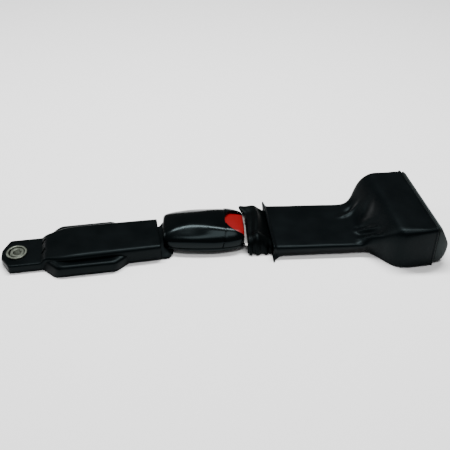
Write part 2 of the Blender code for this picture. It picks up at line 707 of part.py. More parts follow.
spring_outer = spring_cup_inside - GAP - SPRING_STRIP
front, back = spiral_strip(ARBOR_RADIUS + GAP, spring_outer, SPRING_STRIP, SPRING_TURNS)
finish("rewind_spring", strip_solid(front, back, spring_low, spring_low + spring_width), BOX, SPRING_STEEL)

# Webbing: the run to the roll, the crumpled top layer, the fold in the tongue and the sewn end

bar_mid_z = TONGUE_Z + TONGUE_THICK / 2
fold_x = SLOT_START_X + TONGUE_SLOT / 2
tongue_top_z = TONGUE_Z + TONGUE_THICK
bar_end_x = BAR_START_X + TONGUE_BAR
half_thick = WEBBING_THICK / 2
lower_z = WEBBING_RUN_Z - WEBBING_THICK - GAP
webbing_route = [
    (SPOOL_X, WEBBING_RUN_Z), (NECK_LENGTH / 2, WEBBING_RUN_Z), (6 * MM, WEBBING_RUN_Z),
    (0, WEBBING_RUN_Z + 1.4 * MM), (bar_end_x * 0.45, tongue_top_z + half_thick + 0.2 * MM),
    (bar_end_x * 0.75, tongue_top_z + half_thick + WEBBING_LOOP_RISE * 0.8),
    (bar_end_x + 0.5 * MM, tongue_top_z + half_thick + WEBBING_LOOP_RISE),
    (BAR_START_X + 1.5 * MM, tongue_top_z + half_thick + WEBBING_LOOP_RISE * 0.8),
    (fold_x + 1.5 * MM, tongue_top_z + half_thick + 0.3 * MM), (fold_x, bar_mid_z),
    (fold_x + 0.9 * MM, TONGUE_Z - half_thick - 0.4 * MM), (BAR_START_X + MM, lower_z + 0.9 * MM),
    (bar_end_x, lower_z - 0.2 * MM), (bar_end_x * 0.3, lower_z), (WEBBING_SEWN_LENGTH, lower_z),
]


def smooth_route(points, steps=2):
    """Round a route's corners by cutting them, keeping its ends."""
    for _ in range(steps):
        fresh = [points[0]]
        for a, b in zip(points, points[1:]):
            fresh.append((a[0] * 0.75 + b[0] * 0.25, a[1] * 0.75 + b[1] * 0.25))
            fresh.append((a[0] * 0.25 + b[0] * 0.75, a[1] * 0.25 + b[1] * 0.75))
        fresh.append(points[-1])
        points = fresh
    return points


def webbing_half_width(x):
    """Full width on the run, gathered where the webbing goes through the tongue's slot."""
    gathered = TONGUE_SLOT_WIDTH / 2 - SLIDE_GAP
    full = WEBBING_WIDTH / 2
    t = min(max((x - BAR_START_X) / (bar_end_x - BAR_START_X), 0.0), 1.0)
    return gathered + (full - gathered) * ease(t)


def ribbon(route, thick):
    """A flat band of webbing along a route of (x, z) points."""
    rings = []
    for i, (x, z) in enumerate(route):
        before = Vector(route[max(i - 1, 0)])
        after = Vector(route[min(i + 1, len(route) - 1)])
        along = (after - before).normalized()
        nx, nz = -along[1] * thick / 2, along[0] * thick / 2
        half = webbing_half_width(x)
        rings.append([(x - nx, -half, z - nz), (x - nx, half, z - nz), (x + nx, half, z + nz),
                      (x + nx, -half, z + nz)])
    return loft(rings)


finish("webbing", ribbon(smooth_route(webbing_route), WEBBING_THICK), BELT, WEBBING_BLACK)

# Tongue plate

tongue_top = (TONGUE_Z, tongue_top_z)
blade = TONGUE_BLADE_WIDTH / 2
wide = TONGUE_WIDTH / 2
tip = 3 * MM
corner = 2.5 * MM
tongue_outline = [
    (TONGUE_TIP_X, -blade + tip), (TONGUE_TIP_X + tip, -blade), (BUCKLE_END_X + GAP, -blade),
]
tongue_outline += arc((BUCKLE_END_X + GAP + corner, -wide + corner), corner, pi, 3 * pi / 2, 4)
tongue_outline += arc((bar_end_x - corner, -wide + corner), corner, -pi / 2, 0, 4)
tongue_outline += arc((bar_end_x - corner, wide - corner), corner, 0, pi / 2, 4)
tongue_outline += arc((BUCKLE_END_X + GAP + corner, wide - corner), corner, pi / 2, pi, 4)
tongue_outline += [
    (BUCKLE_END_X + GAP, blade), (TONGUE_TIP_X + tip, blade), (TONGUE_TIP_X, blade - tip),
]
tongue = finish("tongue_plate", prism_z(tongue_outline, *tongue_top), BELT, STEEL)
slot_half = TONGUE_SLOT_WIDTH / 2
cut(tongue, block((SLOT_START_X, BAR_START_X), (-slot_half, slot_half), (TONGUE_Z - MM, tongue_top_z + MM)))
window_half = LATCH_WIDTH / 2 + SLIDE_GAP
window = (HOOK_END_X - LATCH_HOOK - GAP, HOOK_END_X + 1.2 * MM)
cut(tongue, block(window, (-window_half, window_half), (TONGUE_Z - MM, tongue_top_z + MM)))

# Buckle covers. The top is crowned, with a ridge on each side that draws in and out along its length

BUCKLE_STATIONS = [
    # share of the length, then half width, ridge half width, top and shoulder heights in millimetres
    (0.00, 17.8, 13.5, 17.2, 15.0),
    (0.03, 19.2, 14.0, 18.6, 15.7),
    (0.15, 21.2, 11.2, 21.6, 17.0),
    (0.30, 22.8, 9.2, 23.6, 18.2),
    (0.45, 23.6, 10.0, 24.0, 18.0),
    (0.60, 23.8, 12.3, 23.7, 17.2),
    (0.75, 23.5, 15.0, 22.6, 17.0),
    (0.90, 21.8, 15.6, 20.8, 16.6),
    (0.97, 20.2, 14.8, 19.0, 15.4),
    (1.00, 18.6, 13.2, 17.4, 14.0),
]
STATION_HALF_WIDTH = 23.8
STATION_HEIGHT = 24.0


def buckle_at(x):
    """Half width, ridge half width, top and shoulder of the buckle's outer skin at x."""
    share = min(max((x - BUCKLE_START_X) / BUCKLE_LENGTH, 0.0), 1.0)
    for low, high in zip(BUCKLE_STATIONS, BUCKLE_STATIONS[1:]):
        if share <= high[0]:
            break
    t = (share - low[0]) / (high[0] - low[0])
    half, ridge, top, shoulder = [a + (b - a) * t for a, b in zip(low[1:], high[1:])]
    across = BUCKLE_WIDTH / 2 / STATION_HALF_WIDTH
    up = BUCKLE_HEIGHT / STATION_HEIGHT
    return half * across, ridge * across, top * up, shoulder * up


def buckle_ring(x, low, inset=0.0, at=None):
    """The buckle's section above a level, drawn in by a wall where inset is given."""
    half, ridge, top, shoulder = buckle_at(x)
    half -= inset
    ridge -= inset * 0.8
    top -= inset
    shoulder -= inset * 0.6
    edge = top - 0.6 * MM
    points = [(-half, low), (-half, shoulder), (-ridge, edge), (-ridge / 2, top), (ridge / 2, top),
              (ridge, edge), (half, shoulder), (half, low)]
    return place_ring(points, x if at is None else at, 0)


def buckle_places(start, stop):
    inner = [BUCKLE_START_X + BUCKLE_LENGTH * row[0] for row in BUCKLE_STATIONS]
    return [start] + [x for x in inner if start + MM / 10 < x < stop - MM / 10] + [stop]


cavity_start = BUCKLE_START_X + BUCKLE_WALL
cavity_end = BUCKLE_END_X - BUCKLE_WALL
split = BUCKLE_SPLIT_Z
top_rings = [buckle_ring(x, split) for x in buckle_places(BUCKLE_START_X, BUCKLE_END_X)]
top_cover = finish("buckle_top_cover", loft(top_rings), BELT, BUCKLE_BLACK, smooth_angle=radians(25))
hollow = [buckle_ring(x, split - MM, BUCKLE_WALL) for x in buckle_places(cavity_start, cavity_end)]
cut(top_cover, loft(hollow))
button_centre_x = BUCKLE_END_X - BUTTON_CENTRE_INSET
well_radius = BUTTON_RADIUS + GAP
cut(top_cover, prism_z(circle((button_centre_x, 0), well_radius), BUTTON_LOW_Z, BUCKLE_HEIGHT + MM))
cut(top_cover, block((button_centre_x, BUCKLE_END_X + MM), (-well_radius, well_radius),
                     (BUTTON_LOW_Z, BUCKLE_HEIGHT + MM)))
mouth_half = blade + SLIDE_GAP
cut(top_cover, block((cavity_end - MM, BUCKLE_END_X + MM), (-mouth_half, mouth_half),
                     (split - MM, tongue_top_z + SLIDE_GAP)))
strap_mouth = STRAP_LOOP_WIDTH / 2 + 2 * GAP
strap_mouth_top = STRAP_PIN_Z + STRAP_LOOP_RADIUS + GAP
cut(top_cover, block((BUCKLE_START_X - MM, cavity_start + MM), (-strap_mouth, strap_mouth),
                     (split - MM, strap_mouth_top)))

# Spring seats under the top cover, on both sides of the latch

spring_seat_x = button_centre_x + BUTTON_CENTRE_INSET - BUTTON_LENGTH - BUTTON_SPRING_LENGTH - GAP
for side in (-1, 1):
    inside = LATCH_WIDTH / 2 + MM
    half, ridge, top, shoulder = buckle_at(spring_seat_x)
    outside = half - BUCKLE_WALL / 2
    seat_ring = [(side * inside, BUTTON_LOW_Z + 1.4 * MM), (side * outside, BUTTON_LOW_Z + 1.4 * MM),
                 (side * outside, shoulder - BUCKLE_WALL / 2), (side * inside, top - BUCKLE_WALL / 2)]
    add(top_cover, loft([place_ring(seat_ring, x, 0) for x in (spring_seat_x - 1.4 * MM, spring_seat_x)]))


def lower_ring(x, inset):
    """The lower shell's section, with its foot drawn in."""
    half = buckle_at(x)[0] - inset
    low = BUCKLE_FLOOR_Z + inset
    high = split - GAP if inset == 0 else split + MM
    flat = half - BUCKLE_FOOT
    foot_top = low + BUCKLE_FOOT
    points = [(-half, high), (-half, foot_top), (-flat, low), (flat, low), (half, foot_top), (half, high)]
    return place_ring(points, x, 0)


bottom_rings = [lower_ring(x, 0) for x in buckle_places(BUCKLE_START_X, BUCKLE_END_X)]
bottom_cover = finish("buckle_bottom_cover", loft(bottom_rings), BELT, BUCKLE_BLACK)
cut(bottom_cover, loft([lower_ring(x, BUCKLE_WALL) for x in buckle_places(cavity_start, cavity_end)]))
rib_top = CHANNEL_BASE_Z - GAP
channel_start = STRAP_PIN_X + STRAP_LOOP_RADIUS + GAP
channel_end = cavity_end - 2 * MM
for side in (-1, 1):
    rib_sides = (side * RIB_PLACE, side * (RIB_PLACE + RIB_THICK))
    rib_levels = (BUCKLE_FLOOR_Z + BUCKLE_WALL / 2, rib_top)
    add(bottom_cover, block((channel_start, channel_end), rib_sides, rib_levels))
cut(bottom_cover, block((BUCKLE_START_X - MM, cavity_start + MM), (-strap_mouth, strap_mouth),
                        (BUCKLE_FLOOR_Z + BUCKLE_WALL, split + MM)))

# Steel channel of the buckle: a base under the tongue and two walls that hold the pins

channel_half = CHANNEL_WIDTH / 2
channel_top = CHANNEL_BASE_Z + CHANNEL_BASE_THICK
walls_end = HOOK_END_X + 1.5 * MM
walls_start = STRAP_PIN_X - STRAP_PIN_RADIUS - 2.6 * MM
channel_object = finish("buckle_frame", block((channel_start, channel_end), (-channel_half, channel_half),
                                              (CHANNEL_BASE_Z, channel_top)), BELT, STEEL)
for side in (-1, 1):
    wall_y = (side * (channel_half - CHANNEL_SHEET), side * channel_half)
    add(channel_object, block((walls_start, walls_end), wall_y, (CHANNEL_BASE_Z, CHANNEL_WALL_TOP)))
    ear = rod_y(LATCH_PIN_X, LATCH_PIN_Z, LATCH_PIN_RADIUS + PIN_GAP + 0.8 * MM, wall_y[0], wall_y[1], 16)
    add(channel_object, ear)
spring_stop_x = channel_start + 1.2 * MM
add(channel_object, block((channel_start, spring_stop_x), (-LATCH_WIDTH / 4, LATCH_WIDTH / 4),
                          (CHANNEL_BASE_Z + MM, CHANNEL_WALL_TOP - MM)))
cut(channel_object, rod_y(STRAP_PIN_X, STRAP_PIN_Z, STRAP_PIN_RADIUS + PIN_GAP, -channel_half - MM,
                          channel_half + MM))
cut(channel_object, rod_y(LATCH_PIN_X, LATCH_PIN_Z, LATCH_PIN_RADIUS + PIN_GAP, -channel_half - MM,
                          channel_half + MM, 14))
hook_hole = (window[0] + GAP, window[1])
cut(channel_object, block(hook_hole, (-window_half, window_half), (CHANNEL_BASE_Z - MM, channel_top + MM)))
strap_rod = rod_y(STRAP_PIN_X, STRAP_PIN_Z, STRAP_PIN_RADIUS, -channel_half, channel_half)
finish("strap_pin", strap_rod, BELT, STEEL)
latch_rod = rod_y(LATCH_PIN_X, LATCH_PIN_Z, LATCH_PIN_RADIUS, -channel_half, channel_half, 14)
finish("latch_pin", latch_rod, BELT, STEEL)

# Latch, with its hook down through the tongue's window and a notch over the ejector's spring

latch_boss = LATCH_PIN_RADIUS + PIN_GAP + 0.6 * MM
arm_low = tongue_top_z + 1.0 * MM
arm_high = arm_low + LATCH_THICK
hook_low = channel_top + GAP
latch_profile = arc((LATCH_PIN_X, LATCH_PIN_Z), latch_boss, radians(60), radians(350), 10)
latch_profile += [
    (LATCH_PIN_X + 2 * latch_boss, arm_low), (HOOK_END_X - LATCH_HOOK, arm_low),
    (HOOK_END_X - LATCH_HOOK, hook_low), (HOOK_END_X - 0.8 * MM, hook_low), (HOOK_END_X, arm_low),
    (HOOK_END_X, arm_high), (LATCH_PIN_X + latch_boss, arm_high),
]
latch = finish("latch", prism_y(latch_profile, -LATCH_WIDTH / 2, LATCH_WIDTH / 2), BELT, STEEL,
               (LATCH_PIN_X, 0, LATCH_PIN_Z))
cut(latch, rod_y(LATCH_PIN_X, LATCH_PIN_Z, LATCH_PIN_RADIUS + PIN_GAP, -LATCH_WIDTH, LATCH_WIDTH, 14))
coil_reach = COIL_RADIUS + COIL_WIRE + GAP
cut(latch, block((LATCH_PIN_X - 2 * latch_boss, TONGUE_TIP_X - EJECTOR_LENGTH),
                 (-coil_reach, coil_reach), (channel_top, arm_high + MM)))


def coil(name, start, stop, y, z, turns, parent):
    """A compression spring along X, from wire swept round a helix."""
    steps = turns * 9
    curve = bpy.data.curves.new(name, "CURVE")
    curve.dimensions = "3D"
    curve.bevel_depth = COIL_WIRE
    curve.bevel_resolution = 1
    curve.use_fill_caps = True
    line = curve.splines.new("POLY")
    line.points.add(steps)
    for i in range(steps + 1):
        a = 2 * pi * turns * i / steps
        x = start + COIL_WIRE + (stop - start - 2 * COIL_WIRE) * i / steps
        line.points[i].co = (x, y + COIL_RADIUS * cos(a), z + COIL_RADIUS * sin(a), 1)
    curve.materials.append(SPRING_STEEL)
    made = bpy.data.objects.new(name, curve)
    bpy.context.collection.objects.link(made)
    made.parent = parent
    return made


# Ejector and its spring behind the tongue's tip

ejector_z = (channel_top + GAP, tongue_top_z + 0.4 * MM)
ejector_end = TONGUE_TIP_X - GAP
ejector_start = ejector_end - EJECTOR_LENGTH
finish("ejector", block((ejector_start, ejector_end), (-EJECTOR_WIDTH / 2, EJECTOR_WIDTH / 2), ejector_z),
       BELT, INNER_PLASTIC)
spring_z = channel_top + GAP + COIL_RADIUS + COIL_WIRE
coil("ejector_spring", spring_stop_x + GAP, ejector_start - GAP, 0, spring_z, 6, BELT)

# Push button under the well of the top cover, drawn from the cover's own section


def button_ring(x):
    half, ridge, top, shoulder = buckle_at(x)
    wall = BUCKLE_WALL + SLIDE_GAP
    side = min(half - wall - 0.8 * MM, BUTTON_RADIUS)
    edge = ridge - wall
    high = top - wall - 0.4 * MM
    bend = max(shoulder - wall * 0.8, BUTTON_LOW_Z + 0.8 * MM)
    points = [(-side, BUTTON_LOW_Z), (-side, bend), (-edge, high), (edge, high), (side, bend),
              (side, BUTTON_LOW_Z)]
    return place_ring(points, x, 0)


button_start = BUCKLE_END_X - BUTTON_LENGTH
button_end = BUCKLE_END_X - 0.8 * MM
button_rings = [button_ring(x) for x in buckle_places(button_start, button_end)]
button = finish("press_button", loft(button_rings), BELT, BUTTON_RED)
button_spring_z = BUTTON_LOW_Z + 1.4 * MM + coil_reach
for name, side in (("button_spring_near", -1), ("button_spring_far", 1)):
    coil(name, spring_seat_x + GAP, button_start - GAP, side * BUTTON_SPRING_Y, button_spring_z, 5, BELT)

# Leaf spring from the roof of the top cover down to the latch

leaf_tip_x = TONGUE_TIP_X + 3 * MM
leaf_root_x = LATCH_PIN_X - 4 * MM
leaf_roof = buckle_at(leaf_root_x)[2] - BUCKLE_WALL - 1.2 * MM
leaf_line = [
    (leaf_root_x, leaf_roof), (LATCH_PIN_X + MM, leaf_roof - 0.4 * MM),
    ((leaf_root_x + leaf_tip_x) / 2 + 2 * MM, (leaf_roof + arm_high) / 2 + 1.5 * MM),
    (leaf_tip_x - 3 * MM, arm_high + 1.6 * MM), (leaf_tip_x, arm_high + GAP + 0.1 * MM),
    (leaf_tip_x + 2 * MM, arm_high + 1.0 * MM),
]
leaf_top = [(x, z + LATCH_SPRING_STRIP) for x, z in leaf_line]
leaf = strip_solid(leaf_line, leaf_top, -LATCH_SPRING_WIDTH / 2, LATCH_SPRING_WIDTH / 2)
finish("latch_spring", leaf, BELT, SPRING_STEEL)

# Anchor side: the moulded sleeve


def sleeve_ring(x, half_width, low, high, corner):
    return place_ring(rounded_ring(half_width, low, high, corner), x, 0)


nose_half = NOSE_WIDTH / 2
body_half = BODY_WIDTH / 2
end_half = BODY_END_WIDTH / 2
body_full_x = NOSE_END_X + STEP_LENGTH
nose_rise = BODY_HEIGHT - NOSE_HEIGHT
step_half = nose_half - 0.8 * MM
step_high = NOSE_HEIGHT + nose_rise * 0.5
sleeve_rings = [
    sleeve_ring(-SLEEVE_LENGTH, nose_half * 0.3, 1.0 * MM, NOSE_HEIGHT - 1.2 * MM, 1.5 * MM),
    sleeve_ring(-SLEEVE_LENGTH + 6.8 * MM, nose_half * 0.96, 0, NOSE_HEIGHT - 0.2 * MM, 1.8 * MM),
    sleeve_ring(-SLEEVE_LENGTH + 9 * MM, nose_half, 0, NOSE_HEIGHT, 1.8 * MM),
    sleeve_ring(NOSE_END_X - MM, nose_half, 0, NOSE_HEIGHT, 1.8 * MM),
    sleeve_ring(NOSE_END_X + STEP_LENGTH * 0.12, step_half, 0, step_high, 2.4 * MM),
    sleeve_ring(NOSE_END_X + STEP_LENGTH * 0.4, (nose_half + body_half) / 2, 0, BODY_HEIGHT - 2 * MM, 3 * MM),
    sleeve_ring(NOSE_END_X + STEP_LENGTH * 0.65, body_half, 0, BODY_HEIGHT - MM, 3 * MM),
    sleeve_ring(body_full_x, body_half, 0, BODY_HEIGHT, 3 * MM),
    sleeve_ring(-MM, end_half, 0, BODY_HEIGHT, 2.6 * MM),
    sleeve_ring(0, end_half - MM, MM, BODY_HEIGHT - MM, 2.6 * MM),
]
sleeve = finish("anchor_sleeve", loft(sleeve_rings), SLEEVE, SLEEVE_BLACK)


def wing_outline(inset, rise):
    """Plan of the wings, wider than the body, slanting in at both ends and rising from the nose."""
    half = WING_WIDTH / 2 - inset
    start = WING_START_X + inset + rise
    stop = WING_END_X - inset
    side = [(start, nose_half - 2 * inset), (start + WING_NOSE_SLOPE, half), (stop - WING_BODY_SLOPE, half),
            (stop, end_half - 2 * inset)]
    return side + [(x, -y) for x, y in reversed(side)]


wing_edge = WING_HEIGHT - WING_BEVEL
wing_levels = ((0, 0, 0), (0, WING_RISE * 0.8, wing_edge), (WING_BEVEL, WING_RISE, WING_HEIGHT))
add(sleeve, loft([[(x, y, z) for x, y in wing_outline(inset, rise)] for inset, rise, z in wing_levels]))

# Room inside the sleeve for the plate and the strap

plate_half = PLATE_WIDTH / 2
plate_wide_x = WING_START_X + PLATE_SHOULDER
slot_start_x = BAR_END_X - PLATE_BAR - PLATE_SLOT
bar_start_x = BAR_END_X - PLATE_BAR


def plate_outline(spare):
    """Plan of the anchor plate: a round eye, a neck, and a wide slotted end."""
    eye = PLATE_EYE_RADIUS + spare
    half = plate_half + spare
    stop = BAR_END_X + spare
    straight = stop - PLATE_CORNER
    side = half - PLATE_CORNER
    points = arc((EYE_X, 0), eye, pi / 2, 3 * pi / 2, 14)
    points += [(WING_START_X, -eye), (plate_wide_x, -half), (straight, -half), (stop, -side),
               (stop, side), (straight, half), (plate_wide_x, half), (WING_START_X, eye)]
    return points


cut(sleeve, prism_z(plate_outline(GAP), PLATE_Z - GAP, PLATE_Z + PLATE_THICK + GAP))
strap_room_half = STRAP_WIDTH / 2 + GAP
loop_half_height = PLATE_THICK / 2 + PIN_GAP + STRAP_THICK
loop_room = (PLATE_MID_Z - loop_half_height - GAP, PLATE_MID_Z + loop_half_height + GAP)
room_start = slot_start_x + GAP
cut(sleeve, block((room_start, MM), (-strap_room_half, strap_room_half), loop_room))
body_room_half = end_half - SLEEVE_WALL
body_room_start = body_full_x + 2 * MM
cut(sleeve, block((body_room_start, -SLEEVE_WALL), (-body_room_half, body_room_half),
                  (loop_room[1] - MM, BODY_HEIGHT - SLEEVE_WALL)))
barrel_room = BUSH_BARREL_RADIUS + PIN_GAP
cut(sleeve, prism_z(circle((EYE_X, 0), barrel_room), -MM, NOSE_HEIGHT + MM))
flange_seat = BUSH_FLANGE_THICK + 2 * GAP
cut(sleeve, prism_z(circle((EYE_X, 0), BUSH_FLANGE_RADIUS + GAP), -MM, flange_seat))

# Two slanting pockets at the foot of the step
pocket_x = NOSE_END_X - POCKET_INSET
half_long = POCKET_LENGTH / 2
half_wide = POCKET_WIDTH / 2
slant_x = cos(POCKET_SLANT)
slant_y = sin(POCKET_SLANT)
pocket_corners = [(-half_long, -half_wide), (half_long, -half_wide), (half_long, half_wide),
                  (-half_long, half_wide)]
for pocket_y in (POCKET_FAR_Y, POCKET_NEAR_Y):
    pocket = [(pocket_x + x * slant_x - y * slant_y, pocket_y + x * slant_y + y * slant_x)
              for x, y in pocket_corners]
    cut(sleeve, prism_z(pocket, NOSE_HEIGHT - POCKET_DEPTH, BODY_HEIGHT))

# Anchor plate

plate = finish("anchor_plate", prism_z(plate_outline(0), PLATE_Z, PLATE_Z + PLATE_THICK), SLEEVE, STEEL)
cut(plate, block((slot_start_x, bar_start_x), (-PLATE_SLOT_WIDTH / 2, PLATE_SLOT_WIDTH / 2),
                 (PLATE_Z - MM, PLATE_Z + PLATE_THICK + MM)))
cut(plate, prism_z(circle((EYE_X, 0), barrel_room), PLATE_Z - MM, PLATE_Z + PLATE_THICK + MM))

# Swivel bush and its loose washer

flange_low = NOSE_HEIGHT + GAP
bush_top = flange_low + BUSH_FLANGE_THICK
recess = BUSH_BARREL_RADIUS - 0.2 * MM
recess_floor = NOSE_HEIGHT - 0.6 * MM
bush_foot = 0.05 * MM
bush_profile = [
    (BUSH_BORE_RADIUS, recess_floor), (BUSH_BORE_RADIUS, bush_foot + 0.8 * MM),
    (BUSH_BORE_RADIUS + 0.6 * MM, bush_foot), (BUSH_FLANGE_RADIUS - 0.4 * MM, bush_foot),
    (BUSH_FLANGE_RADIUS, bush_foot + 0.4 * MM),
    (BUSH_FLANGE_RADIUS - 0.4 * MM, bush_foot + BUSH_FLANGE_THICK),
    (BUSH_BARREL_RADIUS, bush_foot + BUSH_FLANGE_THICK), (BUSH_BARREL_RADIUS, flange_low),
    (BUSH_FLANGE_RADIUS, flange_low), (BUSH_FLANGE_RADIUS, flange_low + 0.4 * MM),
    (BUSH_FLANGE_RADIUS - 0.6 * MM, bush_top), (recess + 0.3 * MM, bush_top), (recess, bush_top - 0.3 * MM),
    (recess, recess_floor),
]
finish("anchor_bush", turned_z(bush_profile, (EYE_X, 0)), SLEEVE, ZINC, (EYE_X, 0, 0))
washer_x = EYE_X + WASHER_OFFSET
washer_low = recess_floor + GAP
washer_profile = [
    (WASHER_HOLE_RADIUS, washer_low), (WASHER_RADIUS, washer_low), (WASHER_RADIUS, washer_low + WASHER_THICK),
    (WASHER_HOLE_RADIUS, washer_low + WASHER_THICK),
]
finish("anchor_washer", turned_z(washer_profile, (washer_x, 0)), SLEEVE, ZINC, (EYE_X, 0, 0))

# Strap from the plate's bar to the buckle's pin, drawn in the belt frame


def on_sleeve(x):
    """A point on the sleeve's centre line, in the belt frame."""
    return SLEEVE_END_X + x * cos(SLEEVE_TURN), SLEEVE_END_Y + x * sin(SLEEVE_TURN)


def strap_ring(place, turn, half_width, middle, thick):
    ring = [(-half_width, middle - thick / 2), (half_width, middle - thick / 2),
            (half_width, middle + thick / 2), (-half_width, middle + thick / 2)]
    return place_ring(ring, place[0], place[1], turn)


strap_half = STRAP_WIDTH / 2
strap_flat = 2 * STRAP_THICK
loop_high = 2 * loop_half_height
loop_start = bar_start_x - PIN_GAP - STRAP_THICK
loop_stop = BAR_END_X + PIN_GAP + STRAP_THICK
strap_rings = [
    strap_ring(on_sleeve(loop_start), SLEEVE_TURN, strap_half, PLATE_MID_Z, loop_high * 0.6),
    strap_ring(on_sleeve(loop_start + 1.2 * MM), SLEEVE_TURN, strap_half, PLATE_MID_Z, loop_high),
    strap_ring(on_sleeve(BAR_END_X), SLEEVE_TURN, strap_half, PLATE_MID_Z, loop_high),
    strap_ring(on_sleeve(loop_stop + 3 * MM), SLEEVE_TURN, strap_half, PLATE_MID_Z, strap_flat),
    strap_ring(on_sleeve(GAP), SLEEVE_TURN, strap_half, PLATE_MID_Z, strap_flat),
]
strap_in_x = BUCKLE_START_X
gap_middle = ((SLEEVE_END_X + strap_in_x) / 2, SLEEVE_END_Y * 0.55)
loop_width = STRAP_LOOP_WIDTH / 2
pin_loop = STRAP_LOOP_RADIUS
strap_rings += [
    strap_ring(gap_middle, SLEEVE_TURN, STRAP_GAP_WIDTH / 2, PLATE_MID_Z + 0.4 * MM, strap_flat),
    strap_ring((strap_in_x - GAP, SLEEVE_END_Y * 0.05), 0, loop_width, PLATE_MID_Z + 1.4 * MM, strap_flat),
]
for across, share in ((-1.0, 0.45), (-0.75, 0.75), (0.0, 1.0), (0.75, 0.75), (1.0, 0.45)):
    strap_rings.append(strap_ring((STRAP_PIN_X + across * pin_loop, 0), 0, loop_width, STRAP_PIN_Z,
                                  2 * pin_loop * share))
strap = finish("buckle_strap", loft(strap_rings), BELT, WEBBING_BLACK)
cut(strap, rod_y(STRAP_PIN_X, STRAP_PIN_Z, STRAP_PIN_RADIUS + PIN_GAP, -BUCKLE_WIDTH, BUCKLE_WIDTH))
bar_hole = block((bar_start_x - PIN_GAP, BAR_END_X + PIN_GAP), (-WING_WIDTH, WING_WIDTH),
                 (PLATE_Z - PIN_GAP, PLATE_Z + PLATE_THICK + PIN_GAP))
bmesh.ops.rotate(bar_hole, cent=(0, 0, 0), matrix=Matrix.Rotation(SLEEVE_TURN, 3, "Z"), verts=bar_hole.verts)
bmesh.ops.translate(bar_hole, vec=(SLEEVE_END_X, SLEEVE_END_Y, 0), verts=bar_hole.verts)
cut(strap, bar_hole)

# Stand the belt on its origin: the middle of its outline, at the floor

bpy.context.view_layer.update()
outline = [made.matrix_world @ vertex.co for made in bpy.data.objects
           if made.type == "MESH" and not made.hide_render for vertex in made.data.vertices]
low = Vector([min(point[axis] for point in outline) for axis in range(3)])
high = Vector([max(point[axis] for point in outline) for axis in range(3)])
ROOT.location = (-(low.x + high.x) / 2, -(low.y + high.y) / 2, -low.z)
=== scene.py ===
import json
from math import atan2, cos, exp, hypot, pi, radians, sin, tan

import bmesh
import bpy
from mathutils import Matrix, Vector, noise

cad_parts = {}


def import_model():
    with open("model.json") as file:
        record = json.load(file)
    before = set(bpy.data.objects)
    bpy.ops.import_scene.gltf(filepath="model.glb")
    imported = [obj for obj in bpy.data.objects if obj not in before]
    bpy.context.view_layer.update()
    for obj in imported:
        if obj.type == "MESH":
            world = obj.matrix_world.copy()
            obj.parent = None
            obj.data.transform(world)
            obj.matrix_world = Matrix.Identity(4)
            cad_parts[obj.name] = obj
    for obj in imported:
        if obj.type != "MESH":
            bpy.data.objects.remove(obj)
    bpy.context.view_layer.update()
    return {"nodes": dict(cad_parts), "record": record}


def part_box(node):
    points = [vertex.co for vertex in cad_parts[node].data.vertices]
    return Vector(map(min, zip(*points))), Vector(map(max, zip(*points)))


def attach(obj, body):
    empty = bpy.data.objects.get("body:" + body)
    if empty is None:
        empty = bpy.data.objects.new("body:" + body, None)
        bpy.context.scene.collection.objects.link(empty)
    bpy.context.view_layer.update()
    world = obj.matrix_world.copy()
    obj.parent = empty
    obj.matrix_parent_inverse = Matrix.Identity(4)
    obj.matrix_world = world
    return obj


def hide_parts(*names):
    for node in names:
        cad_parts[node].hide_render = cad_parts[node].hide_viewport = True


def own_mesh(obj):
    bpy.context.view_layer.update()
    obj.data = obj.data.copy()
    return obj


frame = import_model()

# Lengths are in millimetres until world() or MM makes them metres.
# A frame on the belt's line is (x, y, turn).

MM = 0.001
ORIGIN = Vector((42.342, 2.532, 0))
SLEEVE_AT = (-99.3, -8.0, radians(6.03))
BOX_AT = (126.5, 0.0, radians(4.43))
BOX_SIDE = -1.44
EYE = (-125.2, 0)
WEBBING_WIDTH = 47
STRAP_WIDTH = 37
AXLE_HEIGHT = 19.85

# Camera, at the photo's angle

CAMERA_PLACE = Vector((-25.52, -486.28, 412.6)) * MM
CAMERA_LENS = 55.54
CAMERA_PITCH = radians(39.08)
CAMERA_YAW = radians(3.34)
CAMERA_ROLL = radians(0.26)

forward = Vector((sin(CAMERA_YAW) * cos(CAMERA_PITCH), cos(CAMERA_YAW) * cos(CAMERA_PITCH),
                  -sin(CAMERA_PITCH)))
level = Vector((cos(CAMERA_YAW), -sin(CAMERA_YAW), 0))
upright = level.cross(forward)
right = level * cos(CAMERA_ROLL) + upright * sin(CAMERA_ROLL)
up = upright * cos(CAMERA_ROLL) - level * sin(CAMERA_ROLL)
camera = bpy.data.objects.new("camera", bpy.data.cameras.new("camera"))
camera.data.lens = CAMERA_LENS
camera.data.clip_start = 0.01
camera.matrix_world = Matrix(((right.x, up.x, -forward.x, CAMERA_PLACE.x),
                              (right.y, up.y, -forward.y, CAMERA_PLACE.y),
                              (right.z, up.z, -forward.z, CAMERA_PLACE.z), (0, 0, 0, 1)))
bpy.context.collection.objects.link(camera)
bpy.context.scene.camera = camera

# Materials


def put(node, values):
    """Set a node's own inputs by name."""
    for name, value in values.items():
        node.inputs[name].default_value = value


def add_bump(nodes, links, height, strength, distance):
    """Raise the surface by a height, in place of any relief it had."""
    bump = nodes.new("ShaderNodeBump")
    put(bump, {"Strength": strength, "Distance": distance})
    links.new(height, bump.inputs["Height"])
    links.new(bump.outputs["Normal"], nodes["Principled BSDF"].inputs["Normal"])


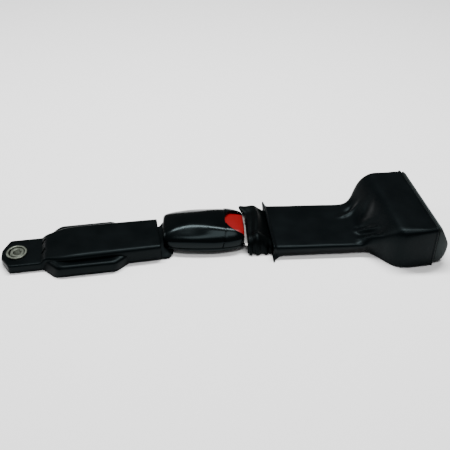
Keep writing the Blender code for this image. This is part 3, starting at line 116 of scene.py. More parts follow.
def detail_group():
    """Two scales of mottling: a mask for colour and gloss, and a height for the grain."""
    group = bpy.data.node_groups.new("surface detail", "ShaderNodeTree")
    for name, default in (("Patch scale", 60.0), ("Grain scale", 900.0)):
        socket = group.interface.new_socket(name=name, in_out="INPUT", socket_type="NodeSocketFloat")
        socket.default_value = default
    for name in ("Mask", "Height"):
        group.interface.new_socket(name=name, in_out="OUTPUT", socket_type="NodeSocketFloat")
    nodes, links = group.nodes, group.links
    start, end = nodes.new("NodeGroupInput"), nodes.new("NodeGroupOutput")
    place = nodes.new("ShaderNodeTexCoord")
    patches, grain = nodes.new("ShaderNodeTexNoise"), nodes.new("ShaderNodeTexNoise")
    patches.inputs["Detail"].default_value = 5
    grain.inputs["Detail"].default_value = 2
    for node, scale in ((patches, "Patch scale"), (grain, "Grain scale")):
        links.new(place.outputs["Object"], node.inputs["Vector"])
        links.new(start.outputs[scale], node.inputs["Scale"])
    links.new(patches.outputs["Fac"], end.inputs["Mask"])
    links.new(grain.outputs["Fac"], end.inputs["Height"])
    return group


DETAIL = detail_group()


def surface(name, dark, light, rough, grain=0.05, metallic=0.0, specular=0.5, patch=60.0, tint=(1, 1, 1)):
    """A mottled solid finish: two close colours, a range of roughness and a fine grain."""
    made = bpy.data.materials.new(name)
    made.use_nodes = True
    nodes, links = made.node_tree.nodes, made.node_tree.links
    shader = nodes["Principled BSDF"]
    detail = nodes.new("ShaderNodeGroup")
    detail.node_tree = DETAIL
    put(detail, {"Patch scale": patch, "Grain scale": 900.0})
    mix = nodes.new("ShaderNodeMix")
    mix.data_type = "RGBA"
    mix.inputs[6].default_value = (*dark, 1)
    mix.inputs[7].default_value = (*light, 1)
    links.new(detail.outputs["Mask"], mix.inputs[0])
    links.new(mix.outputs[2], shader.inputs["Base Color"])
    spread = nodes.new("ShaderNodeMapRange")
    put(spread, {"From Min": 0.3, "From Max": 0.7, "To Min": rough[0], "To Max": rough[1]})
    links.new(detail.outputs["Mask"], spread.inputs["Value"])
    links.new(spread.outputs["Result"], shader.inputs["Roughness"])
    if grain:
        add_bump(nodes, links, detail.outputs["Height"], grain, 0.0003)
    put(shader, {"Metallic": metallic, "Specular IOR Level": specular, "Specular Tint": (*tint, 1)})
    return made


def woven(name, dark, light, rough):
    """Webbing: ribs along its length crossed by the weft, from its own UV map in millimetres."""
    made = surface(name, dark, light, rough, grain=0, specular=0.045, patch=300.0, tint=TEAL)
    nodes, links = made.node_tree.nodes, made.node_tree.links
    uv = nodes.new("ShaderNodeUVMap")
    uv.uv_map = "weave"
    ribs, weft = nodes.new("ShaderNodeTexWave"), nodes.new("ShaderNodeTexWave")
    for node, direction, scale in ((ribs, "Y", 0.28), (weft, "X", 0.45)):
        node.bands_direction = direction
        put(node, {"Scale": scale, "Distortion": 0.6})
        links.new(uv.outputs["UV"], node.inputs["Vector"])
    both = nodes.new("ShaderNodeMath")
    both.operation = "MULTIPLY"
    links.new(ribs.outputs["Fac"], both.inputs[0])
    links.new(weft.outputs["Fac"], both.inputs[1])
    add_bump(nodes, links, both.outputs[0], 0.3, 0.00012)
    return made


TEAL = (0.72, 0.95, 1.0)
BOOT = surface("boot rubber", (0.0003, 0.0006, 0.0008), (0.0008, 0.0014, 0.0017),
               (0.32, 0.42), 0.12, specular=0.06, tint=TEAL)
CAP = surface("cap plastic", (0.0045, 0.0058, 0.0056), (0.0080, 0.0094, 0.0088),
              (0.5, 0.6), 0.15, specular=0.16, tint=TEAL)
SLEEVE = surface("sleeve plastic", (0.0002, 0.0005, 0.0006), (0.0006, 0.0011, 0.0013),
                 (0.32, 0.42), 0.15, specular=0.058, tint=TEAL)
BUCKLE = surface("buckle plastic", (0.0002, 0.0005, 0.0006), (0.0006, 0.0011, 0.0013),
                 (0.17, 0.24), 0.05, specular=0.095, tint=TEAL)
BUTTON = surface("button plastic", (0.125, 0.0012, 0.0022), (0.17, 0.0022, 0.0034),
                 (0.3, 0.38), 0.08, specular=0.15)
STEEL = surface("bright steel", (0.55, 0.54, 0.52), (0.66, 0.65, 0.63), (0.24, 0.36), 0.06, 1.0, patch=200.0)
ZINC = surface("zinc plate", (0.075, 0.085, 0.07), (0.19, 0.21, 0.175), (0.34, 0.46), 0.1, 1.0, patch=220.0)
SPRING = surface("spring steel", (0.22, 0.22, 0.23), (0.32, 0.32, 0.33), (0.3, 0.4), 0.05, 1.0, patch=250.0)
INNER = surface("inner plastic", (0.045, 0.045, 0.045), (0.06, 0.06, 0.06), (0.45, 0.55), 0.1)
WEBBING = woven("belt webbing", (0.0002, 0.0004, 0.0004), (0.0005, 0.0009, 0.0009), (0.36, 0.46))
STRAP = woven("strap webbing", (0.0005, 0.0009, 0.0011), (0.0016, 0.0022, 0.0024), (0.5, 0.65))
BY_SLOT = {"boot": BOOT, "cap": CAP, "sleeve": SLEEVE, "buckle": BUCKLE, "button": BUTTON, "steel": STEEL,
           "zinc": ZINC, "spring_steel": SPRING, "inner_plastic": INNER, "webbing": WEBBING, "strap": STRAP}
for part in frame["record"]["subparts"]:
    mesh = frame["nodes"][part["node"]].data
    mesh.materials.clear()
    mesh.materials.append(BY_SLOT[part["material_slot"]])

# Ways of working


def world(point, at=(0.0, 0.0, 0.0)):
    """A point in millimetres, in a frame standing on the belt line, as a point of the whole."""
    x = at[0] + point[0] * cos(at[2]) - point[1] * sin(at[2])
    y = at[1] + point[0] * sin(at[2]) + point[1] * cos(at[2])
    return (Vector((x, y, point[2])) + ORIGIN) * MM


def deselect():
    if bpy.context.object and bpy.context.object.mode != "OBJECT":
        bpy.ops.object.mode_set(mode="OBJECT")
    bpy.ops.object.select_all(action="DESELECT")


def only(piece):
    """Select just this piece and make it the active one."""
    deselect()
    piece.select_set(True)
    bpy.context.view_layer.objects.active = piece


def at_origin(piece):
    """Put the object's place into its mesh."""
    only(piece)
    bpy.ops.object.transform_apply(location=True, rotation=True, scale=True)


def named(name):
    """The object just made, with its name and its mesh's."""
    piece = bpy.context.object
    piece.name = name
    piece.data.name = name
    return piece


def face_outward():
    """In edit mode: the whole mesh, with its faces turned outward."""
    bpy.ops.mesh.select_all(action="SELECT")
    bpy.ops.mesh.normals_make_consistent(inside=False)


def smooth_points(points, steps):
    """A smooth line through the points, as rows of numbers."""
    line = []
    for i in range(len(points) - 1):
        a, b, c, d = points[max(i - 1, 0)], points[i], points[i + 1], points[min(i + 2, len(points) - 1)]
        for k in range(steps):
            t = k / steps
            line.append(tuple(0.5 * (2 * q + (r - p) * t + (2 * p - 5 * q + 4 * r - s) * t * t
                                     + (3 * q - p - 3 * r + s) * t ** 3) for p, q, r, s in zip(a, b, c, d)))
    line.append(tuple(points[-1]))
    return line


def sweep(name, rings, open_ends=False, smooth=30):
    """A disc set on the first section and extruded from section to section. Closed ends are in triangles."""
    deselect()
    count = len(rings[0])
    bpy.ops.mesh.primitive_circle_add(vertices=count, radius=0.01, fill_type="NGON", location=(0, 0, 0))
    piece = named(name)
    bpy.ops.object.mode_set(mode="EDIT")
    bpy.ops.mesh.select_all(action="SELECT")
    last = None
    for ring in rings:
        if last is not None:
            bpy.ops.mesh.extrude_region_move(TRANSFORM_OT_translate={"value": (0, 0, 0)})
        bm = bmesh.from_edit_mesh(piece.data)
        bm.verts.ensure_lookup_table()
        fresh = list(bm.verts)[-count:]
        if last is not None and any((v.co - p).length > 1e-6 for v, p in zip(fresh, last)):
            fresh = [min(fresh, key=lambda v: (v.co - p).length) for p in last]
        last = [Vector(point) for point in ring]
        for vertex, point in zip(fresh, last):
            vertex.co = point
        bmesh.update_edit_mesh(piece.data)
    bpy.ops.mesh.select_mode(type="FACE")
    bpy.ops.mesh.select_all(action="DESELECT")
    if not open_ends:
        bpy.ops.mesh.select_face_by_sides(number=4, type="GREATER")
        bpy.ops.mesh.quads_convert_to_tris()
    bpy.ops.mesh.select_mode(type="VERT")
    face_outward()
    if open_ends:
        bm = bmesh.from_edit_mesh(piece.data)
        for face in bm.faces:
            face.select_set(len(face.verts) == count)
        bmesh.update_edit_mesh(piece.data)
        bpy.ops.mesh.delete(type="ONLY_FACE")
    bpy.ops.object.mode_set(mode="OBJECT")
    bpy.ops.object.shade_smooth_by_angle(angle=radians(smooth))
    return piece


def section(corners, radii, counts, steps=5):
    """A closed section: each corner rounded, each side split into a set number of parts."""
    rounds = []
    total = len(corners)
    for i, (corner, reach) in enumerate(zip(corners, radii)):
        here, before, after = Vector(corner), Vector(corners[i - 1]), Vector(corners[(i + 1) % total])
        a = here + (before - here).normalized() * min(reach, (before - here).length * 0.48)
        b = here + (after - here).normalized() * min(reach, (after - here).length * 0.48)
        rounds.append([a * (1 - t) ** 2 + here * 2 * t * (1 - t) + b * t * t
                       for t in (k / steps for k in range(steps + 1))])
    out = []
    for i in range(total):
        out += rounds[i]
        a, b = rounds[i][-1], rounds[(i + 1) % total][0]
        out += [a + (b - a) * k / counts[i] for k in range(1, counts[i])]
    return [tuple(p) for p in out]


def across(points, x, y, turn, at):
    """Stand a section of (side, z) points across the line at x, y, turned about the vertical."""
    return [world((x - sin(turn) * s, y + cos(turn) * s, z), at) for s, z in points]


def solid(name, outline, low, high, at=(0.0, 0.0, 0.0), smooth=30):
    """A flat outline extruded from one level to another."""
    return sweep(name, [[world((x, y, z), at) for x, y in outline] for z in (low, high)], smooth=smooth)


def block(name, x, y, z, at=(0.0, 0.0, 0.0)):
    return solid(name, [(x[0], y[0]), (x[1], y[0]), (x[1], y[1]), (x[0], y[1])], z[0], z[1], at)


def circle(centre, radius, steps=64):
    return [(centre[0] + radius * cos(2 * pi * k / steps), centre[1] + radius * sin(2 * pi * k / steps))
            for k in range(steps)]


def apply_all(piece):
    only(piece)
    for modifier in list(piece.modifiers):
        bpy.ops.object.modifier_apply(modifier=modifier.name)


def join_shape(piece, other, operation):
    """Cut the other shape out of the piece, or add it, and put the other away."""
    modifier = piece.modifiers.new("shape", "BOOLEAN")
    modifier.operation = operation
    modifier.solver = "EXACT"
    modifier.object = other
    apply_all(piece)
    mesh = other.data
    bpy.data.objects.remove(other)
    bpy.data.meshes.remove(mesh)


def carve(piece, *rooms):
    """Cut each of the shapes out of the piece, in turn."""
    for room in rooms:
        join_shape(piece, room, "DIFFERENCE")


def soften(piece, width, angle=40, segments=2, smooth=32):
    """A small bevel on the sharp edges, after doubles are merged."""
    only(piece)
    bpy.ops.object.mode_set(mode="EDIT")
    bpy.ops.mesh.select_all(action="SELECT")
    bpy.ops.mesh.remove_doubles(threshold=0.00002)
    bpy.ops.mesh.normals_make_consistent(inside=False)
    bpy.ops.object.mode_set(mode="OBJECT")
    modifier = piece.modifiers.new("soft edges", "BEVEL")
    modifier.width = width * MM
    modifier.segments = segments
    modifier.limit_method = "ANGLE"
    modifier.angle_limit = radians(angle)
    apply_all(piece)
    bpy.ops.object.shade_smooth_by_angle(angle=radians(smooth))


def done(piece, finish, body, slot, *nodes):
    """Give the piece its finish, say what it rides on and hide the parts it stands for. The slot argument is
    not used.
    """
    piece.data.materials.clear()
    piece.data.materials.append(finish)
    at_origin(piece)
    deselect()
    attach(piece, body)
    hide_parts(*nodes)
    return piece


def ease(t):
    """From 0 to 1, with soft ends."""
    t = min(max(t, 0.0), 1.0)
    return t * t * (3 - 2 * t)


def table(rows, x):
    """The row of a table at x, in straight lines between its rows."""
    if x <= rows[0][0]:
        return rows[0][1:]
    for a, b in zip(rows, rows[1:]):
        if x <= b[0]:
            t = (x - a[0]) / (b[0] - a[0])
            return tuple(p + (q - p) * t for p, q in zip(a[1:], b[1:]))
    return rows[-1][1:]


def ridge(x, y, line, high, wide):
    """How far a soft ridge along a line of (x, y) points lifts a place."""
    near, share = 1e9, 0.0
    for i, (a, b) in enumerate(zip(line, line[1:])):
        a, b, here = Vector(a), Vector(b), Vector((x, y))
        t = min(max((here - a).dot(b - a) / (b - a).length_squared, 0.0), 1.0)
        away = (here - a - (b - a) * t).length
        if away < near:
            near, share = away, (i + t) / (len(line) - 1)
    return high * exp(-(near / wide) ** 2) * sin(pi * (0.06 + 0.88 * share)) ** 0.7


# Rubber boot of the retractor: neck, flare and box, its creases as in the photo

BOOT_ROWS = smooth_points([
    # distance, far side, near side at the top, near side at the floor, height, corner
    (0, 31.2, -30.8, -28.8, 12.3, 3.4), (20, 31.1, -31.1, -28.4, 12.3, 3.6),
    (50, 30.8, -31.3, -27.7, 12.3, 3.6), (70, 30.6, -31.3, -27.2, 12.3, 3.6),
    (76, 31.2, -31.3, -27.0, 12.7, 3.8), (80, 32.2, -31.6, -27.1, 14.2, 4.2),
    (84, 34.4, -32.4, -27.5, 17.4, 5.0), (88, 37.8, -35.2, -31.2, 21.8, 5.6),
    (92, 41.0, -39.2, -36.6, 26.8, 6.4), (96, 42.8, -43.0, -42.4, 31.8, 8.4),
    (100, 43.2, -45.9, -46.2, 35.8, 9.6), (104, 43.2, -47.6, -48.3, 38.4, 9.8),
    (108, 43.4, -48.5, -49.5, 39.2, 8.6), (115, 43.8, -48.2, -49.9, 39.3, 6.6),
    (126.5, 44.3, -47.2, -48.7, 39.3, 4.0), (134.4, 43.9, -45.9, -47.4, 39.3, 4.0)], 6)
CREASES = [
    # line, height, half width
    ([(79, -11.5), (84, -15.0), (89, -19.5), (95, -24.5)], 2.0, 1.7),
    ([(79, -16.5), (84, -19.5), (89, -24.0), (95, -29.0)], -1.7, 2.5),
    ([(79, -22.5), (84, -25.0), (89, -29.0), (94, -33)], 2.0, 1.7),
    ([(76, -28.5), (82, -30.2), (88, -32.8)], -1.0, 1.6),
    ([(85.4, -4.7), (93.9, -13.0)], 1.0, 2.4), ([(80, -8.8), (90, -14.5)], -1.2, 2.0),
    ([(68, 9), (73.0, 11.4), (86, 18)], 1.6, 1.8), ([(73, 15.5), (84, 22)], -1.2, 2.2),
    ([(87, 6), (96, 3)], -2.6, 8.0), ([(98, -40), (106, -45), (113, -46)], 0.8, 3.4),
    ([(30, 22), (44, 16), (60, 18)], 0.25, 8.0), ([(8, -8), (20, -16), (40, -14)], -0.3, 8.0),
]
SEAM = 134.4
BOOT_WALL = 1.8
FLARE_SKEW = radians(2.5)


def boot_turn(x):
    """How far a section of the boot is turned in plan."""
    if x < 76:
        return radians(3.3 + 1.13 * x / 76)
    skew = FLARE_SKEW * ease((x - 81) / 13) * (1 - ease((x - 96) / 24))
    return radians(4.43 + 2.8 * ease((x - 104) / 26)) + skew


def boot_section(x, out=0.0, spike=0.0):
    """A section; out widens it, spike draws out its far top corner. A fin hangs at the lip's near side."""
    fin = max(0.0, 1 - x / 8.0) ** 1.1
    far, near, floor_side, high, corner = table(BOOT_ROWS, x)
    middle = (far + near) / 2
    corners = [(floor_side - out, 0), (far - 0.8 + out, 0), (far + out, high + out), (near - out, high + out)]
    ring = section(corners, (2.2, 2.4, min(corner, 4.6), corner), (12, 8, 44, 8))
    points = []
    for y, z in ring:
        share = z / high
        if x < 90 and abs(y - middle) > 25:
            y += 0.7 * sin(pi * min(share, 1.0)) * (1 if y > middle else -1)
        shift = -tan(boot_turn(x)) * (y - middle)
        if share > 0.55:
            lift = sum(ridge(x + shift, y, *crease) for crease in CREASES)
            lift += 0.25 * noise.noise(Vector((x * 0.07, y * 0.07, 3.0)))
            z += lift * ease((share - 0.55) / 0.4)
        if spike or fin:
            far_top = ease((y - middle - 24) / 8) * ease((share - 0.5) / 0.5)
            near_low = ease((middle - y - 22) / 8) * ease((0.5 - share) / 0.5)
            y += spike * 1.2 * far_top - 7.2 * fin * near_low
            z += spike * 2.2 * far_top
            shift -= spike * 0.8 * far_top
        points.append(world((x + shift, y, z)))
    return points


lip = [(0.0, 1.0, 1.0), (0.3, 1.5, 1.0), (1.0, 1.6, 1.0), (1.5, 1.2, 0.7), (2.2, 0.4, 0.3), (3.2, 0.05, 0.1),
       (4.4, 0, 0), (5.6, 0, 0)]
seam_bead = [(132.7, 0.0), (133.0, 0.5), (133.5, 0.75), (SEAM - 0.35, 0.65), (SEAM, 0.3)]
boot_rings = [boot_section(x, out, spike) for x, out, spike in lip]
boot_rings += [boot_section(x) for x in range(7, 70, 3)]
boot_rings += [boot_section(70 + 1.1 * i) for i in range(36)]
boot_rings += [boot_section(x) for x in (111, 114, 118, 122, 126, 129.5, 132.2)]
boot_rings += [boot_section(x, out) for x, out in seam_bead]
boot = sweep("boot_skin", boot_rings, open_ends=True, smooth=50)
wall = boot.modifiers.new("wall", "SOLIDIFY")
wall.thickness = BOOT_WALL * MM
wall.offset = -1
apply_all(boot)
done(boot, BOOT, "retractor", "boot", "retractor_boot")

# End cap: its back slants out from the top edge and rounds in to the floor

CAP_SKEW = radians(2.8)


def cap_section(x, inset, low, high, corner=4.0):
    half = 44.8 - inset
    ring = section([(-half, low), (half, low), (half, high), (-half, high)], (corner,) * 4, (10, 4, 10, 4), 6)
    return across(ring, x, BOX_SIDE, CAP_SKEW, BOX_AT)


cap_rings = [cap_section(8.15, 1.2, 1.2, 38.1), cap_section(9.0, 1.1, 1.1, 38.2),
             cap_section(9.2, 0.5, 0.5, 38.8), cap_section(9.7, 0.1, 0.1, 39.2),
             cap_section(10.4, 0.0, 0.0, 39.3)]
for i in range(1, 17):
    out, drawn = sin(i / 16 * pi / 2), 1 - cos(i / 16 * pi / 2)
    reach = 3.4 + 9.6 * out
    cap_rings.append(cap_section(8.1 + reach, 3.0 * drawn, 17 * drawn * 0.82, 39.3 - 22.3 * out * 0.82))
cap_rings.append(cap_section(21.25, 3.6, 14.8, 20.2, 2.5))
cap = sweep("cap_shell", cap_rings, smooth=35)
done(cap, CAP, "retractor", "cap", "end_cap")

# Buckle covers: a crowned top with a ridge on each side, a cross seam before the button, and a lower shell

COVER_WALL = 2.0
WELL_AT = (-24.2, 0)
WELL_RADIUS = 15.5
BUCKLE_ROWS = smooth_points([
    # distance, half width, ridge half width, top, shoulder
    (-95.8, 17.8, 13.5, 17.2, 14.8), (-93.6, 19.2, 13.8, 18.8, 15.6), (-90.0, 20.3, 12.8, 20.1, 16.4),
    (-84.7, 21.3, 11.2, 21.8, 17.2), (-73.6, 22.8, 9.2, 23.6, 18.2), (-62.5, 23.6, 10.0, 24.0, 18.0),
    (-51.4, 23.8, 12.3, 23.7, 17.2), (-40.3, 23.4, 13.8, 22.6, 17.0), (-29.2, 21.8, 14.4, 20.8, 16.6),
    (-24.0, 20.2, 14.8, 19.0, 15.4), (-21.8, 18.8, 13.2, 17.6, 14.2)], 5)


def buckle_bow(x, y):
    """The buckle's ends are bowed in plan."""
    return -2.2 * (y / 21) ** 2 * ease((x + 44) / 22) + 1.0 * (y / 19) ** 2 * ease((-x - 88) / 8)


def buckle_top_section(x, inset, low, pad=0.0):
    """One section of the top cover; pad swells it, most at the far side."""
    half, crest, top, shoulder = table(BUCKLE_ROWS, x)
    half, crest = half - inset + pad, crest - inset * 0.8
    top, shoulder = top - inset + pad * 0.5, shoulder - 1.4 - inset * 0.6
    corners = [(-half, low), (half, low), (half, shoulder + 0.3), (crest + 0.6, top - 0.5),
               (crest * 0.45, top), (-crest * 0.45, top), (-crest, top - 0.5), (-half, shoulder)]
    ring = section(corners, (0.3, 0.3, 6.5, 4.5, 4.0, 4.0, 3.4, 6.5), (6, 3, 4, 2, 3, 2, 4, 3), 7)
    ring = [(y + 1.6 * pad * ease((y - 12) / 6) * ease((z - 9) / 5), z) for y, z in ring]
    slant = -0.22 * exp(-((x + 39) / 5) ** 2)
    return [world((x + buckle_bow(x, y) + slant * (22 - z), y, z)) for y, z in ring]


# Distance, inset, pad
top_steps = [(-95.8, 0.6, 0), (-95.5, 0.15, 0), (-95.0, 0, 0), (-94.2, 0, 0), (-93, 0, 0)]
top_steps += [(x, 0, 0) for x in range(-91, -39, 2)]
top_steps += [(-39.8, 0, 0), (-39.5, 0.15, 0), (-39.3, 1.1, 0), (-38.8, 1.1, 0)]
top_steps += [(-38.6, 0, 0.3), (-38.0, 0, 0.45), (-36.5, 0, 0.5)]
top_steps += [(x, 0, 0.5 - 0.05 * (x + 35)) for x in range(-35, -25, 2)]
top_steps += [(-24.5, 0, 0), (-23.4, 0, 0), (-22.4, 0, 0)]
top_steps += [(-22.0, 0.2, 0), (-21.8, 0.7, 0)]
buckle_top = sweep("buckle_top", [buckle_top_section(x, inset, 8.15, pad) for x, inset, pad in top_steps])
top_hollow_at = (-93.8, -90, -84, -76, -68, -60, -52, -44, -36, -30, -24.6)
# The cuts keep a few hundredths of a millimetre off each other's planes, so that no faces coincide
carve(buckle_top, sweep("hollow", [buckle_top_section(x, COVER_WALL, 7.0) for x in top_hollow_at]),
      solid("well", circle(WELL_AT, WELL_RADIUS, 96), 12.0, 26),
      block("well_end", (-24.6, -19), (-15.47, 15.47), (12.03, 26.1)),
      block("tongue_mouth", (-26.8, -20), (-12.9, 12.9), (7, 11.3)),
      block("strap_mouth", (-97.5, -91.83), (-15.8, 15.8), (6.93, 13.7)))
soften(buckle_top, 0.35, 50)
done(buckle_top, BUCKLE, "belt", "buckle", "buckle_top_cover")


# Distance, how far the foot is drawn in
FOOT_ROWS = [(-95.8, 7.0), (-84, 6.2), (-74, 5.4), (-60, 4.2), (-47, 2.8), (-38, 2.6),
             (-27, 4.0), (-21.8, 5.5)]


def buckle_base_section(x, inset=0.0):
    """One section of the lower cover, with a narrow ledge at the parting line."""
    ledge = 0.55 * ease((x + 84) / 10) * ease((-42 - x) / 5)
    half = table(BUCKLE_ROWS, x)[0] - inset - 0.1 + ledge
    low, high = 0.6 + inset, 7.7 if inset < COVER_WALL else 9.0
    foot = table(FOOT_ROWS, x)[0]
    bend = low + 3.2 + (foot - 3.0) * 0.4
    corners = [(-half, high), (-half, bend), (-half + foot, low),
               (half - foot, low), (half, bend), (half, high)]
    ring = section(corners, (1.1, 2.2, 1.8, 1.8, 2.2, 1.1), (2, 2, 6, 2, 2, 6), 4)
    return [world((x + buckle_bow(x, y), y, z)) for y, z in ring]


base_hollow_at = (-93.8, -84, -74, -64, -54, -44, -34, -24.6)
base_steps = [(-95.8, 0.7), (-95.5, 0.2), (-95.0, 0), (-93.5, 0)] + [(x, 0) for x in range(-91, -24, 3)]
base_steps += [(-23.2, 0), (-22.2, 0.2), (-21.8, 0.7)]
buckle_base = sweep("buckle_base", [buckle_base_section(x, inset) for x, inset in base_steps])
carve(buckle_base, sweep("hollow", [buckle_base_section(x, COVER_WALL) for x in base_hollow_at]),
      block("strap_mouth", (-97.5, -91.77), (-15.8, 15.8), (2.69, 9.07)))
soften(buckle_base, 0.3, 50)
done(buckle_base, BUCKLE, "belt", "buckle", "buckle_bottom_cover")


# Red button, under the well and seen through it


def button_section(x, inset=0.0):
    half, crest, top, shoulder = table(BUCKLE_ROWS, x)
    side = min(half - 3.2, 15.2) - inset
    high = top - 2.8 - inset
    edge = crest - 2.4 - inset
    bend = max(shoulder - 1.9, 12.8) - inset
    low = 12.05 + inset * 0.3
    corners = [(-side, low), (side, low), (side, bend), (edge, high), (-edge, high), (-side, bend)]
    ring = section(corners, (0.5, 0.5, 1.2, 2.4, 2.4, 1.2), (6, 2, 3, 6, 3, 2), 4)
    return [world((x, y, z)) for y, z in ring]


button_steps = [(-42.8, 0.5), (-42.4, 0.1), (-41.9, 0)] + [(x, 0) for x in range(-40, -25, 2)]
button_steps += [(-24.6, 0), (-23.4, 0), (-22.9, 0.15), (-22.6, 0.5)]
button = sweep("red_button", [button_section(x, inset) for x, inset in button_steps])
done(button, BUTTON, "press_button", "button", "press_button")

# Return springs of the button, and the latch's leaf spring

COIL_WIRE = 0.35 * MM
COIL_TURNS = 5


def coil_piece(name, node):
    """A round wire wound along X, in the place and size of a solid spring."""
    low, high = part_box(node)
    middle, reach = (low + high) / 2, (high.z - low.z) / 2
    deselect()
    bpy.ops.mesh.primitive_circle_add(vertices=8, radius=COIL_WIRE, fill_type="NOTHING",
                                      location=(0, 0, reach - COIL_WIRE), rotation=(pi / 2, 0, 0))
    piece = named(name)
    at_origin(piece)
    turns = piece.modifiers.new("turns", "SCREW")
    turns.axis = "X"
    turns.angle = 2 * pi
    turns.iterations = COIL_TURNS
    turns.screw_offset = (high.x - low.x - 2 * COIL_WIRE) / COIL_TURNS
    turns.steps = turns.render_steps = 18
    apply_all(piece)
    piece.location = (low.x + COIL_WIRE, middle.y, middle.z)
    at_origin(piece)
    bpy.ops.object.mode_set(mode="EDIT")
    face_outward()
    bpy.ops.mesh.select_all(action="DESELECT")
    bpy.ops.mesh.select_non_manifold()
    bpy.ops.mesh.edge_face_add()
    bpy.ops.object.mode_set(mode="OBJECT")
    bpy.ops.object.shade_smooth_by_angle(angle=radians(50))
    done(piece, SPRING, "belt", "spring_steel", node)
    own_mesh(piece)


coil_piece("near_return_spring", "button_spring_near")
coil_piece("far_return_spring", "button_spring_far")
LEAF = smooth_points([(-72, 20.4), (-67, 20.1), (-61.6, 18.4), (-58.3, 15.6), (-55.3, 14.4),
                      (-53.3, 15.0)], 4)
leaf_rings = []
for i, (x, z) in enumerate(LEAF):
    ahead, behind = LEAF[min(i + 1, len(LEAF) - 1)], LEAF[max(i - 1, 0)]
    lean = atan2(ahead[1] - behind[1], ahead[0] - behind[0])
    leaf_rings.append([world((x - sin(lean) * up_by, side, z + cos(lean) * up_by))
                       for side, up_by in ((-2.2, 0), (2.2, 0), (2.2, 0.5), (-2.2, 0.5))])
leaf = sweep("latch_leaf", leaf_rings)
done(leaf, SPRING, "belt", "spring_steel", "latch_spring")
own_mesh(leaf)

# Steel tongue, its shoulder bowed like the buckle's end

blade = [(-58.3, -9.5), (-55.3, -12.5), (-22.2, -12.5)]
shoulder_near = [(-21.45 - 2.2 * (y / 21) ** 2, y) for y in (-12.7, -15, -17.5, -19.5)]
bar_near = [(-23.1, -20.4), (-22.4, -21.4), (-20.8, -21.9), (-10.8, -22.0), (-8.5, -21.3), (-7.8, -19.2)]
outline = blade + shoulder_near + bar_near
outline += [(x, -y) for x, y in reversed(outline)]
tongue = solid("tongue", outline, 8.4, 10.9)
carve(tongue, block("slot", (-18.8, -12.8), (-17.6, 17.6), (7, 12)),
      block("window", (-50.3, -47.0), (-8.4, 8.4), (7, 12)))
soften(tongue, 0.5, 40, 3)
done(tongue, STEEL, "belt", "steel", "tongue_plate")

# Webbing: drawn narrow in the tongue's slot, and spread and crumpled where it goes round the bar


def line_lengths(points):
    """The distance along a line to each of its points."""
    lengths = [0.0]
    for a, b in zip(points, points[1:]):
        lengths.append(lengths[-1] + hypot(b[0] - a[0], b[1] - a[1]))
    return lengths


def along_line(points, lengths, distance):
    """The place on a line at a distance along it."""
    distance = min(max(distance, 0.0), lengths[-1])
    for i in range(1, len(points)):
        if distance <= lengths[i] or i == len(points) - 1:
            t = (distance - lengths[i - 1]) / max(lengths[i] - lengths[i - 1], 1e-9)
            return tuple(p + (q - p) * t for p, q in zip(points[i - 1], points[i]))


def cloth(name, length, width, place, thick, along, wide):
    """A flat grid, each of its points laid where the cloth goes, with its flat size as the weave's UV map."""
    deselect()
    bpy.ops.mesh.primitive_grid_add(x_subdivisions=along, y_subdivisions=wide, size=2, location=(0, 0, 0))
    piece = named(name)
    flat = {vertex.index: ((vertex.co.x + 1) / 2 * length, vertex.co.y * width / 2)
            for vertex in piece.data.vertices}
    uv = piece.data.uv_layers.new(name="weave")
    for loop in piece.data.loops:
        uv.data[loop.index].uv = flat[loop.vertex_index]
    for vertex in piece.data.vertices:
        vertex.co = place(*flat[vertex.index])
    skin = piece.modifiers.new("thickness", "SOLIDIFY")
    skin.thickness = thick * MM
    skin.offset = 0
    apply_all(piece)
    bpy.ops.object.mode_set(mode="EDIT")
    face_outward()
    bpy.ops.object.mode_set(mode="OBJECT")
    bpy.ops.object.shade_smooth_by_angle(angle=radians(60))
    return piece


LOOP = smooth_points([
    # distance, height: from the boot under the tongue's bar, up through its slot and back into the boot
    (17, 3.4), (9, 3.3), (2, 2.9), (-5, 2.4), (-11, 2.6), (-15.4, 4.3), (-17.3, 7.6), (-17.7, 9.8),
    (-19.8, 11.9), (-19.2, 13.8), (-15.4, 15.3), (-11.4, 15.7), (-8.0, 14.5), (-4.4, 12.0), (-0.8, 9.7),
    (3, 8.2), (8, 6.9), (14, 6.0), (22, 5.6), (40, 5.6), (70, 5.6), (100, 5.6), (126.5, 5.6)], 5)
LOOP_LENGTHS = line_lengths(LOOP)
LOOP_LENGTH = LOOP_LENGTHS[-1]
SLOT_AT = LOOP_LENGTHS[min(range(len(LOOP)), key=lambda i: hypot(LOOP[i][0] + 17.9, LOOP[i][1] - 9.6))]


